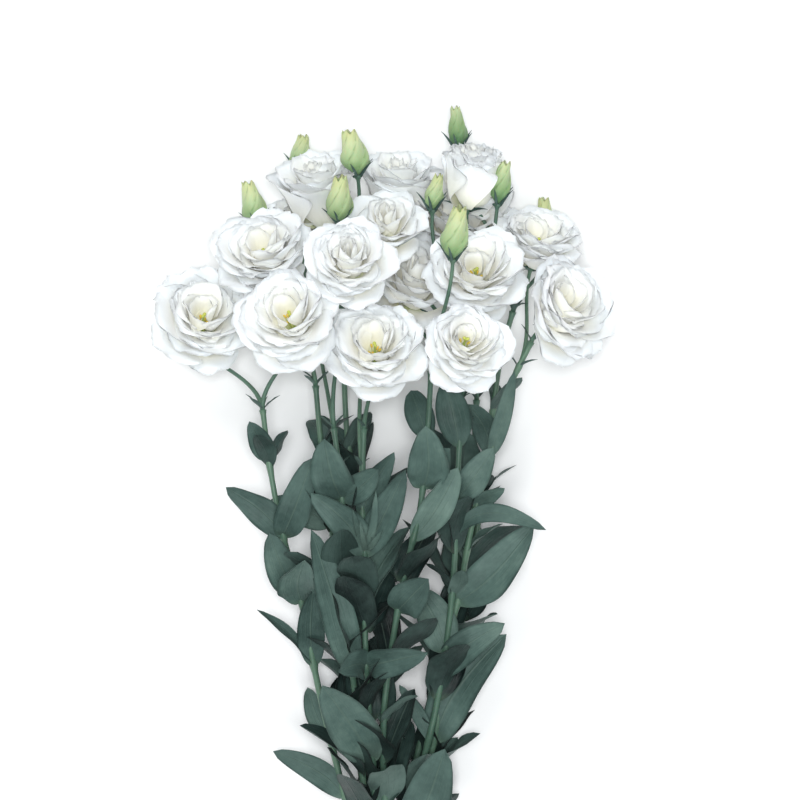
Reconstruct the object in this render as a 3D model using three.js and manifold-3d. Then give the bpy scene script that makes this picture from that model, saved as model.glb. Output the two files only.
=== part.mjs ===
// A tied bunch of white double lisianthus, lying down: ten leafy stems with their blooms and buds.
// Millimetres. Z is up and the surface is z = 0. The stems run along Y, with their cut ends towards -Y
// and their flowers towards +Y. The origin is the middle of the flat underside of the tie.
import * as THREE from "three";
import Module from "manifold-3d";

const wasm = await Module();
wasm.setup();
const { Manifold } = wasm;

// ---- Driving sizes ----

const GAP = 0.3; // between pieces that touch
const CLEARANCE = 0.2; // between pieces that only pass each other

const STEM_RADIUS = 2.5; // where the stems are tied
const STEM_TOP_RADIUS = 1.8; // at a stem's topmost fork
const STEM_SIDES = 5;
const STEM_RINGS = 8; // above the tie
const HALVINGS = 30; // of the search for a height along a stem
const CUT_END_Y = -90;
const FLARE = 1.7; // how far the stems spread again at their cut ends

const STALK_RADIUS = 1.3; // a flower's own stalk
const STALK_SIDES = 5;
const STALK_RINGS = 4;
const STALK_HANDLE = 0.35; // the reach of its curve's handles over its length
const STALK_SHIFTS = [0, 10, -10, 20, -20, 32, -32, 45, -45]; // of those handles, tried along X and Z
const NECK = 6; // the length of its swollen end
const NECK_END = 2.9; // from the flower's root to the sepals' feet
const CUSHION_RADIUS = 2.8; // the stalk's swollen end, which carries the flower
const SEPAL_LENGTH = 16;
const SEPAL_SCALES = [1, 0.75];
const SEPAL_DROP = 0.5; // how far a sepal's tip starts below the stalk's last ring
const SEPAL_INSET = 0.1; // how far one is drawn in from its corners to see what it would cross
const BLOOM_SEPAL_LEANS = [72, 84, 60]; // from the flower's axis in degrees, tried in turn
const BUD_SEPAL_LEANS = [38, 50, 64];
const STUB = { lean: 90, scale: 0.1 }; // a sepal that finds no room

const TIE_WIDTH = 12;
const TIE_THICKNESS = 1.5;
const TIE_CORNER_POINTS = 3;
const PITCH = 2 * STEM_RADIUS + GAP; // between neighbouring stems in the tie
const ROW_HEIGHT = (PITCH * Math.sqrt(3)) / 2;
const LOWEST_ROW_Z = TIE_THICKNESS + GAP + STEM_RADIUS;

const PETAL_THICKNESS = 0.7;
const PETAL_CLAW = 0.15; // a petal's width at its root, over its full width
const PETAL_WIDEST = 0.8; // how far along the petal it is widest
const HEART_HEIGHT = 28; // from a bloom's root to the middle of its outline
const PETALS = 5; // in each whorl
const HALF_PETAL = 180 / PETALS; // in degrees
const ROOT_THICKNESS = 1.2; // of a petal where it grows out of the core

const LEAF_THICKNESS = 0.7;
const LEAF_FOLD = 0.18; // how far a leaf's margins rise over its half width
const LEAF_WAVE = 0.06; // how far its margins wave over its width
const LEAF_BELLY = 0.8; // below 1 it is widest nearer its root
const LEAF_BLUNTNESS = 0.75; // below 1 its ends are blunter
const LEAF_START = 0.1; // how far it leaves along its stem, over its length
const LEAF_BEND = 0.22; // how far along it that bend lies
const LEAF_ROWS = [0.3, 0.68]; // places along a leaf, between its root and its tip
const BROAD_ROWS = [0.16, 0.45, 0.76]; // the same along a broad one
const BROAD = 22; // the least width of a broad leaf

// Every stem: its seat in the tie, in columns and rows, then the points that its middle line passes.
const STEMS = {
  stem_a: {
    seat: [-1.5, 1],
    path: [
      [-31.5, 105, 30], [-49, 182, 48], [-59.5, 238, 60],
      [-71, 280, 68], [-80.5, 329, 72], [-86, 371, 70],
    ],
  },
  stem_b: {
    seat: [-0.5, 1],
    path: [
      [-23, 154, 38], [-31.5, 224, 52], [-38.5, 294, 60],
      [-45.5, 350, 62], [-49, 388, 60],
    ],
  },
  stem_c: {
    seat: [-1, 2],
    path: [
      [-19, 140, 48], [-24, 203, 66], [-28, 266, 80],
      [-31, 322, 86], [-35.7, 358, 84],
    ],
  },
  stem_d: {
    seat: [0, 2],
    path: [
      [-9, 119, 44], [-12, 168, 60], [-14, 210, 72],
      [-14, 266, 86], [-16, 308, 90], [-14.7, 358, 86],
    ],
  },
  stem_e: {
    seat: [1, 2],
    path: [
      [0, 168, 58], [5.6, 210, 70], [16, 266, 84],
      [23, 294, 88], [29.4, 350, 88], [32.2, 398, 82],
    ],
  },
  stem_f: {
    seat: [0.5, 1],
    path: [
      [22, 100, 26], [35, 154, 40], [44, 210, 52],
      [49, 266, 60], [50.4, 308, 64], [54, 378, 64],
    ],
  },
  stem_g: {
    seat: [0, 0],
    path: [
      [18, 100, 10], [33, 168, 18], [47, 238, 26],
      [56, 301, 32], [61.6, 329, 34], [65, 378, 38],
    ],
  },
  stem_h: {
    seat: [1.5, 1],
    path: [
      [24, 90, 20], [36.4, 143, 30], [42, 196, 42], [51, 234, 48],
      [63.7, 300, 56], [72.8, 332, 60], [84.7, 380, 64], [103, 419, 62],
    ],
  },
  stem_i: {
    seat: [1, 0],
    path: [
      [27, 100, 8], [38.5, 154, 12], [56, 224, 18], [67, 294, 24],
      [76, 364, 28], [84, 416, 30], [91, 441, 32],
    ],
  },
  stem_j: {
    seat: [-1, 0],
    path: [
      [-12, 140, 14], [-16, 210, 20], [-21, 294, 26],
      [-28, 364, 32], [-30, 430, 36],
    ],
  },
};

// The whorls of five petals of each form of bloom, from the outermost in: how far they lean
// from the bloom's axis at root, middle and rim in degrees, their length and width, how rounded their
// ends are, the radius and height of their roots, how far the whorl is turned, and how many steps
// each row of points takes across the petal, from its root to its rim.
const OUTER_CUTS = [1, 2, 2, 3];
const MIDDLE_CUTS = [1, 2, 2, 2];
const INNER_CUTS = [1, 2, 2];
const OPEN_OUTER = {
  lean: [70, 38, 75], length: 48, width: 54, round: 0.2,
  root: [4, 0.8], turn: 0, cuts: OUTER_CUTS,
};
const WHORLS = {
  open: [
    OPEN_OUTER,
    {
      lean: [52, 20, 52], length: 43, width: 38, round: 0.18,
      root: [3.4, 2.6], turn: 36, cuts: MIDDLE_CUTS,
    },
    {
      lean: [40, 4, 26], length: 36, width: 18, round: 0.15,
      root: [3, 4.4], turn: 72, cuts: INNER_CUTS,
    },
  ],
  closed_heart: [
    OPEN_OUTER,
    {
      lean: [52, 14, 40], length: 43, width: 35, round: 0.18,
      root: [3.4, 2.6], turn: 36, cuts: MIDDLE_CUTS,
    },
    {
      lean: [34, -2, 4], length: 37, width: 13, round: 0.15,
      root: [2.8, 4.4], turn: 72, cuts: INNER_CUTS,
    },
  ],
  plain: [
    OPEN_OUTER,
    {
      lean: [42, 8, 36], length: 42, width: 28, round: 0.18,
      root: [3.2, 2.6], turn: 36, cuts: INNER_CUTS,
    },
  ],
  cupped: [
    {
      lean: [64, 16, 62], length: 50, width: 39, round: 0.2,
      root: [4, 0.8], turn: 0, cuts: OUTER_CUTS,
    },
    {
      lean: [38, 2, 30], length: 45, width: 22, round: 0.18,
      root: [3, 2.6], turn: 36, cuts: INNER_CUTS,
    },
  ],
  half_open: [
    {
      lean: [50, 6, 40], length: 46, width: 30, round: 0.2,
      root: [3.8, 0.8], turn: 0, cuts: MIDDLE_CUTS,
    },
    {
      lean: [22, 0, 14], length: 44, width: 12, round: 0.15,
      root: [2.8, 2.6], turn: 36, cuts: INNER_CUTS,
    },
  ],
};
const ROUND_POWER = 2.5; // a petal's end is flat in its middle and rounded towards its margins
const FILL_POWER = 1.4; // how late a petal widens
const LAP = 2; // a petal's one margin lies over its neighbour and the other under it
const LAP_STARTS = 6; // the lap is full from a sixth of the petal's length
const RUFFLE = 2.4; // how far a petal's rim waves
const RUFFLE_RADIUS = 24; // it waves less nearer the axis than this
const RUFFLE_POWER = 3; // the wave keeps to the rim
const RUFFLE_WAVES = 1.5;
const RUFFLE_PHASE = Math.PI; // keeps the margins of neighbouring petals apart
const RUFFLE_SPREAD = 2.2; // how far that phase differs between petals, in radians
const LINE_STEPS = 12; // of the sum that follows a petal's middle line
const TIGHTEST = 8; // a petal's root is curled about the axis no closer than this

// Every bloom: the stem it grows on, where it leaves that stem along Y, the middle of its outline, the
// way it faces, its size over a full bloom, its form, how far it is turned, whether its stamens show,
// and whether it rests on the surface.
const BLOOMS = [
  {
    name: "bloom_16", stem: "stem_c", fork: 330, at: [-62, 503, 30],
    facing: [-0.1, 0.85, 0.52], size: 0.6, form: "plain", turn: 10, rests: true,
  },
  {
    name: "bloom_10", stem: "stem_j", fork: 430, at: [-49, 527, 46],
    facing: [-0.12, 0.9, 0.42], size: 1, form: "cupped", turn: 0,
  },
  {
    name: "bloom_09", stem: "stem_h", fork: 400, at: [108.5, 493, 50],
    facing: [0.2, 0.85, 0.48], size: 0.82, form: "open", turn: 20, stamens: true,
  },
  {
    name: "bloom_11", stem: "stem_g", fork: 378, at: [8, 529, 30],
    facing: [0.05, 0.9, 0.42], size: 0.8, form: "cupped", turn: 50,
  },
  {
    name: "bloom_13", stem: "stem_d", fork: 330, at: [1.4, 503, 70],
    facing: [0, 0.62, 0.78], size: 0.76, form: "plain", turn: 5,
  },
  {
    name: "bloom_14", stem: "stem_f", fork: 360, at: [53, 508, 34],
    facing: [0.1, 0.8, 0.59], size: 0.66, form: "plain", turn: 40, rests: true,
  },
  {
    name: "bloom_12", stem: "stem_i", fork: 441, at: [61, 540, 62],
    facing: [0.1, 0.93, 0.36], size: 0.98, form: "half_open", turn: 30,
  },
  {
    name: "bloom_15", stem: "stem_g", fork: 378, at: [20, 458, 52],
    facing: [0.05, 0.7, 0.71], size: 0.66, form: "plain", turn: 0,
  },
  {
    name: "bloom_01", stem: "stem_a", fork: 371, at: [-127, 435, 62],
    facing: [0.15, 0.5, 0.85], size: 0.9, form: "open", turn: 60, stamens: true,
  },
  {
    name: "bloom_03", stem: "stem_b", fork: 388, at: [-86, 484, 76],
    facing: [-0.2, 0.7, 0.68], size: 0.92, form: "open", turn: 15, stamens: true,
  },
  {
    name: "bloom_08", stem: "stem_h", fork: 419, at: [130, 440, 84],
    facing: [0.6, 0.35, 0.72], size: 0.92, form: "open", turn: 33, stamens: true,
  },
  {
    name: "bloom_07", stem: "stem_f", fork: 378, at: [64, 468, 88],
    facing: [0.05, 0.55, 0.83], size: 0.96, form: "open", turn: 50, stamens: true,
  },
  {
    name: "bloom_02", stem: "stem_a", fork: 371, at: [-68, 433, 118],
    facing: [-0.2, 0.35, 0.92], size: 0.97, form: "open", turn: 25, stamens: true,
  },
  {
    name: "bloom_05", stem: "stem_d", fork: 358, at: [-7, 414, 108],
    facing: [0, 0.5, 0.87], size: 0.94, form: "open", turn: 54, stamens: true,
  },
  {
    name: "bloom_04", stem: "stem_c", fork: 358, at: [-24.5, 475, 120],
    facing: [0, 0.5, 0.87], size: 0.9, form: "closed_heart", turn: 0,
  },
  {
    name: "bloom_06", stem: "stem_e", fork: 398, at: [58, 413, 122],
    facing: [0.3, 0.25, 0.92], size: 0.84, form: "open", turn: 12, stamens: true,
  },
];
const SUNK = 0.8; // the lowest petals of a resting bloom are pressed flat by this much

// Every bud, in the same terms, with its own length and width.
const BUDS = [
  {
    name: "bud_08", stem: "stem_i", fork: 441, at: [116, 503, 10],
    facing: [0.05, 0.99, 0.1], length: 29, width: 13, turn: 0,
  },
  {
    name: "bud_01", stem: "stem_b", fork: 388, at: [-93, 518, 40],
    facing: [-0.12, 0.98, 0.15], length: 32, width: 15, turn: 20,
  },
  {
    name: "bud_02", stem: "stem_j", fork: 400, at: [-61, 556, 14],
    facing: [0.05, 0.98, 0.2], length: 24, width: 12, turn: 50,
  },
  {
    name: "bud_03", stem: "stem_j", fork: 430, at: [-21, 553, 64],
    facing: [-0.1, 0.98, 0.15], length: 31, width: 17, turn: 5,
  },
  {
    name: "bud_04", stem: "stem_j", fork: 430, at: [-33, 519, 76],
    facing: [-0.1, 0.95, 0.3], length: 32, width: 16, turn: 30,
  },
  {
    name: "bud_05", stem: "stem_g", fork: 378, at: [34, 525, 70],
    facing: [0.05, 0.97, 0.25], length: 24, width: 11, turn: 0,
  },
  {
    name: "bud_06", stem: "stem_i", fork: 441, at: [52, 573, 34],
    facing: [0, 0.98, 0.2], length: 29, width: 15, turn: 45,
  },
  {
    name: "bud_07", stem: "stem_f", fork: 378, at: [81, 532, 60],
    facing: [0.1, 0.97, 0.2], length: 29, width: 13, turn: 12,
  },
  {
    name: "bud_09", stem: "stem_e", fork: 398, at: [48, 493.5, 124],
    facing: [0.05, 0.93, 0.35], length: 36, width: 14, turn: 25,
  },
];
const BUD_LOBES = 5;
const BUD_RINGS = [0, 0.32, 0.75, 1]; // heights over the bud's length
const BUD_PROFILE = [0.26, 1, 0.62, 0.16]; // widths there over its full width
const CORE_FOOT = 1; // how far a bloom or bud reaches below its own root
const BUD_LOBE_DEPTH = 0.1;
const BUD_TWIST = 1.1; // radians from its foot to its tip

// The leaves that the bunch shows: their stem, where they leave it along Y, their tip and their width.
// A leaf seen on its edge faces along X.
const SHOWN_LEAVES = [
  { stem: "stem_a", from: 336, tip: [-94.5, 362, 84], width: 11 },
  { stem: "stem_a", from: 282, tip: [-110.6, 316, 80], width: 19 },
  { stem: "stem_a", from: 282, tip: [-51, 336, 96], width: 21 },
  { stem: "stem_a", from: 235, tip: [-80.5, 284, 84], width: 21 },
  { stem: "stem_a", from: 235, tip: [-56, 264, 106], width: 25 },
  { stem: "stem_a", from: 190, tip: [-89.6, 231, 60], width: 19, facing: [0.9, 0, 0.4] },
  { stem: "stem_a", from: 190, tip: [-50.4, 245, 78], width: 18 },
  { stem: "stem_a", from: 95, tip: [-79, 128, 44], width: 21 },
  { stem: "stem_a", from: 136, tip: [-56, 172, 14], width: 21 },
  { stem: "stem_b", from: 290, tip: [-82, 307, 44], width: 19 },
  { stem: "stem_c", from: 308, tip: [-42, 351, 112], width: 26 },
  { stem: "stem_c", from: 308, tip: [-5, 330, 118], width: 18, facing: [-0.5, 0, 0.8] },
  { stem: "stem_c", from: 187, tip: [-51, 287, 94], width: 22 },
  { stem: "stem_d", from: 66, tip: [-5, 115, 72], width: 34 },
  { stem: "stem_d", from: 269, tip: [-49, 311, 112], width: 20 },
  { stem: "stem_d", from: 269, tip: [14, 329, 112], width: 20 },
  { stem: "stem_d", from: 297, tip: [6, 341, 110], width: 16 },
  { stem: "stem_d", from: 190, tip: [-28.7, 190, 104], width: 19 },
  { stem: "stem_d", from: 190, tip: [29.4, 202, 96], width: 20 },
  { stem: "stem_d", from: 122, tip: [-43.4, 180, 78], width: 30 },
  { stem: "stem_e", from: 317, tip: [28, 357, 124], width: 26 },
  { stem: "stem_e", from: 317, tip: [44, 343, 106], width: 17 },
  { stem: "stem_e", from: 280, tip: [50, 330, 104], width: 20 },
  { stem: "stem_e", from: 230, tip: [28, 252, 112], width: 24 },
  { stem: "stem_e", from: 350, tip: [18, 385, 72], width: 18 },
  { stem: "stem_f", from: 308, tip: [76, 344, 78], width: 19 },
  { stem: "stem_f", from: 345, tip: [42, 392, 56], width: 22 },
  { stem: "stem_f", from: 284, tip: [112, 287, 82], width: 19 },
  { stem: "stem_f", from: 200, tip: [22, 245, 46], width: 25 },
  { stem: "stem_f", from: 136, tip: [10, 175, 40], width: 16 },
  { stem: "stem_h", from: 339, tip: [58, 376, 50], width: 17 },
  { stem: "stem_h", from: 301, tip: [84, 316, 72], width: 13 },
  { stem: "stem_h", from: 339, tip: [90, 396, 84], width: 11 },
  { stem: "stem_h", from: 234, tip: [104, 289, 72], width: 27 },
  { stem: "stem_h", from: 183, tip: [84, 220, 60], width: 21 },
  { stem: "stem_h", from: 136, tip: [86, 212, 46], width: 28 },
  { stem: "stem_f", from: 60, tip: [42, 132, 62], width: 30 },
];
// Along Z, tried in turn until a leaf crosses nothing.
const TIP_SHIFTS = [0, 6, -6, 12, -12, 18, -18, 26, -26, 34, -34, 44];

// The leaves behind them, in opposite pairs, each pair a quarter turn from the last.
const MORE_LEAVES = {
  stem_a: [330],
  stem_b: [235, 340],
  stem_c: [110, 240],
  stem_d: [235],
  stem_e: [90, 150],
  stem_f: [90, 240],
  stem_g: [110, 175, 240, 300],
  stem_h: [95, 270],
  stem_i: [190, 250, 310, 370],
  stem_j: [150, 215, 280, 340],
};
const LEAF_LENGTH = 66;
const LEAF_WIDTH = 25;
const FIRST_TURN = 45; // of the lowest pair, in degrees
const PAIR_TURN = 90;
const TURN_SHIFTS = [0, 30, -30, 60, -60];
const LEAF_LEANS = [40, 25, 60]; // from the stem, in degrees
const LEAF_SCALES = [1, 0.75];

// ---- Small helpers ----

const vec = (x, y, z) => new THREE.Vector3(x, y, z);
const point = (list) => vec(...list);
const mix = THREE.MathUtils.lerp;
const radians = THREE.MathUtils.degToRad;
const UP = vec(0, 0, 1);
const ALONG = vec(0, 1, 0);

// A repeatable draw between 0 and 1 for the pair of whole numbers i and k.
function draw(i, k) {
  const wide = Math.sin(12.9898 * (i + 1) + 78.233 * (k + 1)) * 43758.5453;
  return wide - Math.floor(wide);
}

// A closed solid from a list of points and a list of triangles, which are turned to face out.
function solidOf(points, triangles) {
  const signed = ([a, b, c]) => vec(0, 0, 0).crossVectors(points[a], points[b]).dot(points[c]);
  const volume = triangles.reduce((sum, triangle) => sum + signed(triangle), 0);
  const facing = volume < 0 ? triangles.map(([a, b, c]) => [a, c, b]) : triangles;
  const mesh = new wasm.Mesh({
    numProp: 3,
    vertProperties: new Float32Array(points.flatMap((p) => [p.x, p.y, p.z])),
    triVerts: new Uint32Array(facing.flat()),
  });
  return new Manifold(mesh);
}

// The two directions square to an axis, turned about it.
function acrossAxis(axis, turn) {
  const side = vec(0, 0, 0).crossVectors(ALONG, axis);
  if (side.length() < 0.2) side.crossVectors(UP, axis);
  side.normalize().applyAxisAngle(axis, turn);
  return [side, vec(0, 0, 0).crossVectors(axis, side)];
}

const facingOf = (flower) => point(flower.facing).normalize();

// The direction that leans from an axis towards a side, in degrees.
function headingFrom(axis, side, lean) {
  const heading = axis.clone().multiplyScalar(Math.cos(radians(lean)));
  return heading.addScaledVector(side, Math.sin(radians(lean)));
}

// Carries a point of a flower, written about its own axis, to where the flower stands.
function placer(root, axis, turn) {
  const [side, other] = acrossAxis(axis, turn);
  return (p) =>
    root
      .clone()
      .addScaledVector(side, p.x)
      .addScaledVector(other, p.y)
      .addScaledVector(axis, p.z);
}

// ---- Rods, blades and turned bodies ----

// A ring of points about a centre, square to a direction.
function ringAbout(centre, direction, radius, sides) {
  const side = vec(0, 0, 0).crossVectors(direction, UP).normalize();
  const other = vec(0, 0, 0).crossVectors(side, direction);
  const ring = [];
  for (let k = 0; k < sides; k += 1) {
    const angle = (2 * Math.PI * k) / sides;
    const p = centre.clone().addScaledVector(side, radius * Math.cos(angle));
    ring.push(p.addScaledVector(other, radius * Math.sin(angle)));
  }
  return ring;
}

// The rings of a round rod along a line of points, with its radius at each.
function rodRings(line, radii, sides) {
  return line.map((centre, k) => {
    const before = line[Math.max(k - 1, 0)];
    const after = line[Math.min(k + 1, line.length - 1)];
    return ringAbout(centre, after.clone().sub(before).normalize(), radii[k], sides);
  });
}

// A closed stack of rings with flat ends. Between ring rays.after and the next, each side is drawn out
// to a point of its own from rays.tips.
function stack(rings, rays = { after: -1, tips: [] }) {
  const sides = rings[0].length;
  const tipStart = rings.length * sides;
  const triangles = [];
  for (let ring = 0; ring + 1 < rings.length; ring += 1)
    for (let k = 0; k < sides; k += 1) {
      const [a, b] = [ring * sides + k, ring * sides + ((k + 1) % sides)];
      const [c, d] = [b + sides, a + sides];
      const tip = tipStart + k;
      if (ring === rays.after) triangles.push([a, b, tip], [b, c, tip], [c, d, tip], [d, a, tip]);
      else triangles.push([a, b, c], [a, c, d]);
    }
  const last = tipStart - sides;
  for (let k = 1; k + 1 < sides; k += 1) triangles.push([0, k + 1, k], [last, last + k, last + k + 1]);
  return solidOf([...rings.flat(), ...rays.tips], triangles);
}

// A body turned about a flower's axis, from pairs of radius and height.
function turnedRings(profile, sides, carry, turn = 0, bulge = () => 1) {
  return profile.map(([radius, height]) => {
    const ring = [];
    for (let k = 0; k < sides; k += 1) {
      const angle = turn + (2 * Math.PI * k) / sides;
      const r = radius * bulge(angle, height);
      ring.push(carry(vec(r * Math.cos(angle), r * Math.sin(angle), height)));
    }
    return ring;
  });
}

// A thin blade from rows of points on its middle surface, with any number of points in each row.
function blade(rows, thickness) {
  const mesh = { points: [], triangles: [] };
  addBlade(mesh, rows, thickness);
  return solidOf(mesh.points, mesh.triangles);
}

// Adds a blade to a mesh. Both of its faces are split alike, so that they never cross. Where root is
// given, the blade grows out of those pairs of the mesh's points in place of its first row.
function addBlade(mesh, rows, thickness, root) {
  const pairs = rows.map((row, j) => {
    if (j === 0 && root) return root;
    return row.map((p, i) => {
      const normal = bladeNormal(rows, i, j).multiplyScalar(thickness / 2);
      mesh.points.push(p.clone().add(normal), p.clone().sub(normal));
      return [mesh.points.length - 2, mesh.points.length - 1];
    });
  });
  const face = (a, b, c) => mesh.triangles.push([a[0], b[0], c[0]], [a[1], c[1], b[1]]);
  const wall = (a, b) => mesh.triangles.push([a[0], a[1], b[1]], [a[0], b[1], b[0]]);
  for (let j = 0; j + 1 < rows.length; j += 1) {
    const [a, b] = [pairs[j], pairs[j + 1]];
    const [near, far] = [a.length - 1, b.length - 1];
    for (let [i, k] = [0, 0]; i < near || k < far; ) {
      const stepNear = k === far || (i < near && (i + 1) / near <= (k + 1) / far);
      if (stepNear) face(a[i], a[i + 1], b[k]);
      else face(a[i], b[k + 1], b[k]);
      if (stepNear) i += 1;
      else k += 1;
    }
    wall(b[0], a[0]);
    wall(a[near], b[far]);
  }
  const first = root ? [] : pairs[0];
  const rim = pairs[pairs.length - 1];
  for (let i = 0; i + 1 < first.length; i += 1) wall(first[i], first[i + 1]);
  for (let i = 0; i + 1 < rim.length; i += 1) wall(rim[i + 1], rim[i]);
}

// The direction square to a blade at one point of its rows.
function bladeNormal(rows, i, j) {
  const row = rows[j];
  const share = row.length > 1 ? i / (row.length - 1) : 0.5;
  const before = rows[Math.max(j - 1, 0)];
  const after = rows[Math.min(j + 1, rows.length - 1)];
  const wide = row.length > 1 ? row : j === 0 ? after : before;
  const step = 1 / (wide.length - 1);
  const across = onRow(wide, Math.min(share + step, 1)).sub(onRow(wide, Math.max(share - step, 0)));
  const along = onRow(after, share).sub(onRow(before, share));
  return across.cross(along).normalize();
}

// The point at a share of a row's width.
function onRow(row, share) {
  const at = share * (row.length - 1);
  const low = Math.min(Math.floor(at), row.length - 1);
  return row[low].clone().lerp(row[Math.min(low + 1, row.length - 1)], at - low);
}

// ---- Petals and blooms ----

// How far a petal leans from the bloom's axis at s, from 0 at its root to 1 at its rim.
function leanAt(lean, s) {
  const [root, middle, rim] = lean;
  return radians(root * (1 - s) * (1 - 2 * s) + middle * 4 * s * (1 - s) + rim * s * (2 * s - 1));
}

// A petal's middle line at s: its distance from the axis and its height.
function middleLine(whorl, s) {
  let [r, h] = whorl.root;
  for (let step = 0; step < LINE_STEPS; step += 1) {
    const lean = leanAt(whorl.lean, (s * (step + 0.5)) / LINE_STEPS);
    r += (Math.sin(lean) * whorl.length * s) / LINE_STEPS;
    h += (Math.cos(lean) * whorl.length * s) / LINE_STEPS;
  }
  return [r, h];
}

// A point on a petal: u runs across it from -1 to 1, and v along it from 0 to 1.
function petalPoint(whorl, turn, phase, u, v) {
  const s = v * (1 - whorl.round * Math.abs(u) ** ROUND_POWER);
  const [r, h] = middleLine(whorl, s);
  const full = THREE.MathUtils.smoothstep(s, 0, PETAL_WIDEST) ** FILL_POWER;
  const half = (whorl.width / 2) * mix(PETAL_CLAW, 1, full);
  const angle = turn + (u * half) / Math.max(r, TIGHTEST);
  const lap = LAP * u * Math.min(1, LAP_STARTS * s);
  const wave = Math.sin(RUFFLE_WAVES * Math.PI * u + phase);
  const ruffle = RUFFLE * Math.min(1, r / RUFFLE_RADIUS) * s ** RUFFLE_POWER * wave;
  const lean = leanAt(whorl.lean, s);
  const out = r + (lap + ruffle) * Math.cos(lean);
  return vec(out * Math.cos(angle), out * Math.sin(angle), h - (lap + ruffle) * Math.sin(lean));
}

function petalRows(whorl, turn, phase) {
  return whorl.cuts.map((cuts, j) => {
    const v = j / (whorl.cuts.length - 1);
    const row = [];
    for (let i = 0; i <= cuts; i += 1) row.push(petalPoint(whorl, turn, phase, (2 * i) / cuts - 1, v));
    return row;
  });
}

// The root of a bloom, from the middle of its outline.
function bloomRoot(bloom, lift) {
  const at = point(bloom.at).addScaledVector(UP, lift);
  return at.addScaledVector(facingOf(bloom), -HEART_HEIGHT * bloom.size);
}

// A bloom: a short core, and whorls of five petals that each grow out of one side of a band of it.
function bloomSolid(bloom, root) {
  const number = BLOOMS.indexOf(bloom);
  const carry = placer(root, facingOf(bloom), radians(bloom.turn));
  const scaled = (p) => carry(p.multiplyScalar(bloom.size));
  const whorls = WHORLS[bloom.form];
  const mesh = { points: [], triangles: [] };
  const ring = (radius, height, turn) => {
    const first = mesh.points.length;
    mesh.points.push(...turnedRings([[radius, height]], PETALS, scaled, radians(turn))[0]);
    return Array.from({ length: PETALS }, (_, k) => first + k);
  };
  let below = ring(CUSHION_RADIUS, -CORE_FOOT, -HALF_PETAL);
  mesh.triangles.push(...capOf(below).map(([a, b, c]) => [a, c, b]));
  whorls.forEach((whorl, w) => {
    const [radius, height] = whorl.root;
    const lower = ring(radius, height, whorl.turn - HALF_PETAL);
    const upper = ring(radius, height + ROOT_THICKNESS, whorl.turn - HALF_PETAL);
    below.forEach((a, k) => {
      const next = (k + 1) % PETALS;
      mesh.triangles.push([a, below[next], lower[k]], [below[next], lower[next], lower[k]]);
    });
    lower.forEach((a, k) => {
      const next = (k + 1) % PETALS;
      const phase = RUFFLE_PHASE + RUFFLE_SPREAD * (draw(number, PETALS * w + k) - 0.5);
      const rows = petalRows(whorl, radians(whorl.turn + 2 * HALF_PETAL * k), phase);
      const claw = [[a, upper[k]], [lower[next], upper[next]]];
      addBlade(mesh, rows.map((row) => row.map(scaled)), PETAL_THICKNESS, claw);
    });
    below = upper;
  });
  mesh.triangles.push(...capOf(below));
  return solidOf(mesh.points, mesh.triangles);
}

// The triangles of a flat cap on a ring of points.
function capOf(ring) {
  return ring.slice(2).map((c, k) => [ring[0], ring[k + 1], c]);
}

// The root of a bud, from the middle of its outline.
function budRoot(bud) {
  return point(bud.at).addScaledVector(facingOf(bud), -bud.length / 2);
}

// A furled bud: five petals twisted about each other, which shows as five winding lobes.
function budSolid(bud, root) {
  const carry = placer(root, facingOf(bud), radians(bud.turn));
  const profile = BUD_RINGS.map((t, k) => [(BUD_PROFILE[k] * bud.width) / 2, t * bud.length - CORE_FOOT]);
  const lobes = (angle, height) =>
    1 + BUD_LOBE_DEPTH * Math.cos(BUD_LOBES * (angle - (BUD_TWIST * height) / bud.length));
  return stack(turnedRings(profile, 2 * BUD_LOBES, carry, 0, lobes));
}

// ---- Stamens and pistil ----

// The pistil as pairs of radius and height, with five stamens drawn out of its foot.
const PISTIL = [[1.4, 0], [1.5, 2], [2, 4.5], [0.8, 11], [1.9, 16]];
const STAMENS = { after: 1, count: 5, reach: 4.2, height: 14 };

function stamensSolid(bloom, root) {
  const axis = facingOf(bloom);
  const [, top] = WHORLS[bloom.form].at(-1).root;
  const seat = (top + ROOT_THICKNESS) * bloom.size + GAP;
  const carry = placer(root.clone().addScaledVector(axis, seat), axis, radians(bloom.turn));
  const tips = [];
  for (let k = 0; k < STAMENS.count; k += 1) {
    const angle = (2 * Math.PI * (k + 0.5)) / STAMENS.count;
    const [x, y] = [STAMENS.reach * Math.cos(angle), STAMENS.reach * Math.sin(angle)];
    tips.push(carry(vec(x, y, STAMENS.height)));
  }
  return stack(turnedRings(PISTIL, STAMENS.count, carry), { after: STAMENS.after, tips });
}

// ---- Stems, stalks and sepals ----

function tieSeat(stem) {
  const [column, row] = stem.seat;
  return [column * PITCH, LOWEST_ROW_Z + row * ROW_HEIGHT];
}

// A main stem's middle line above the tie.
function stemCurve(stem) {
  const [x, z] = tieSeat(stem);
  const points = [vec(x, TIE_WIDTH, z), ...stem.path.map(point)];
  return new THREE.CatmullRomCurve3(points, false, "chordal");
}

// The parameter of a stem's curve where it passes a given Y, by halving.
function curveAt(curve, y) {
  let [low, high] = [0, 1];
  for (let step = 0; step < HALVINGS; step += 1) {
    const middle = (low + high) / 2;
    if (curve.getPoint(middle).y < y) low = middle;
    else high = middle;
  }
  return (low + high) / 2;
}

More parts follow.
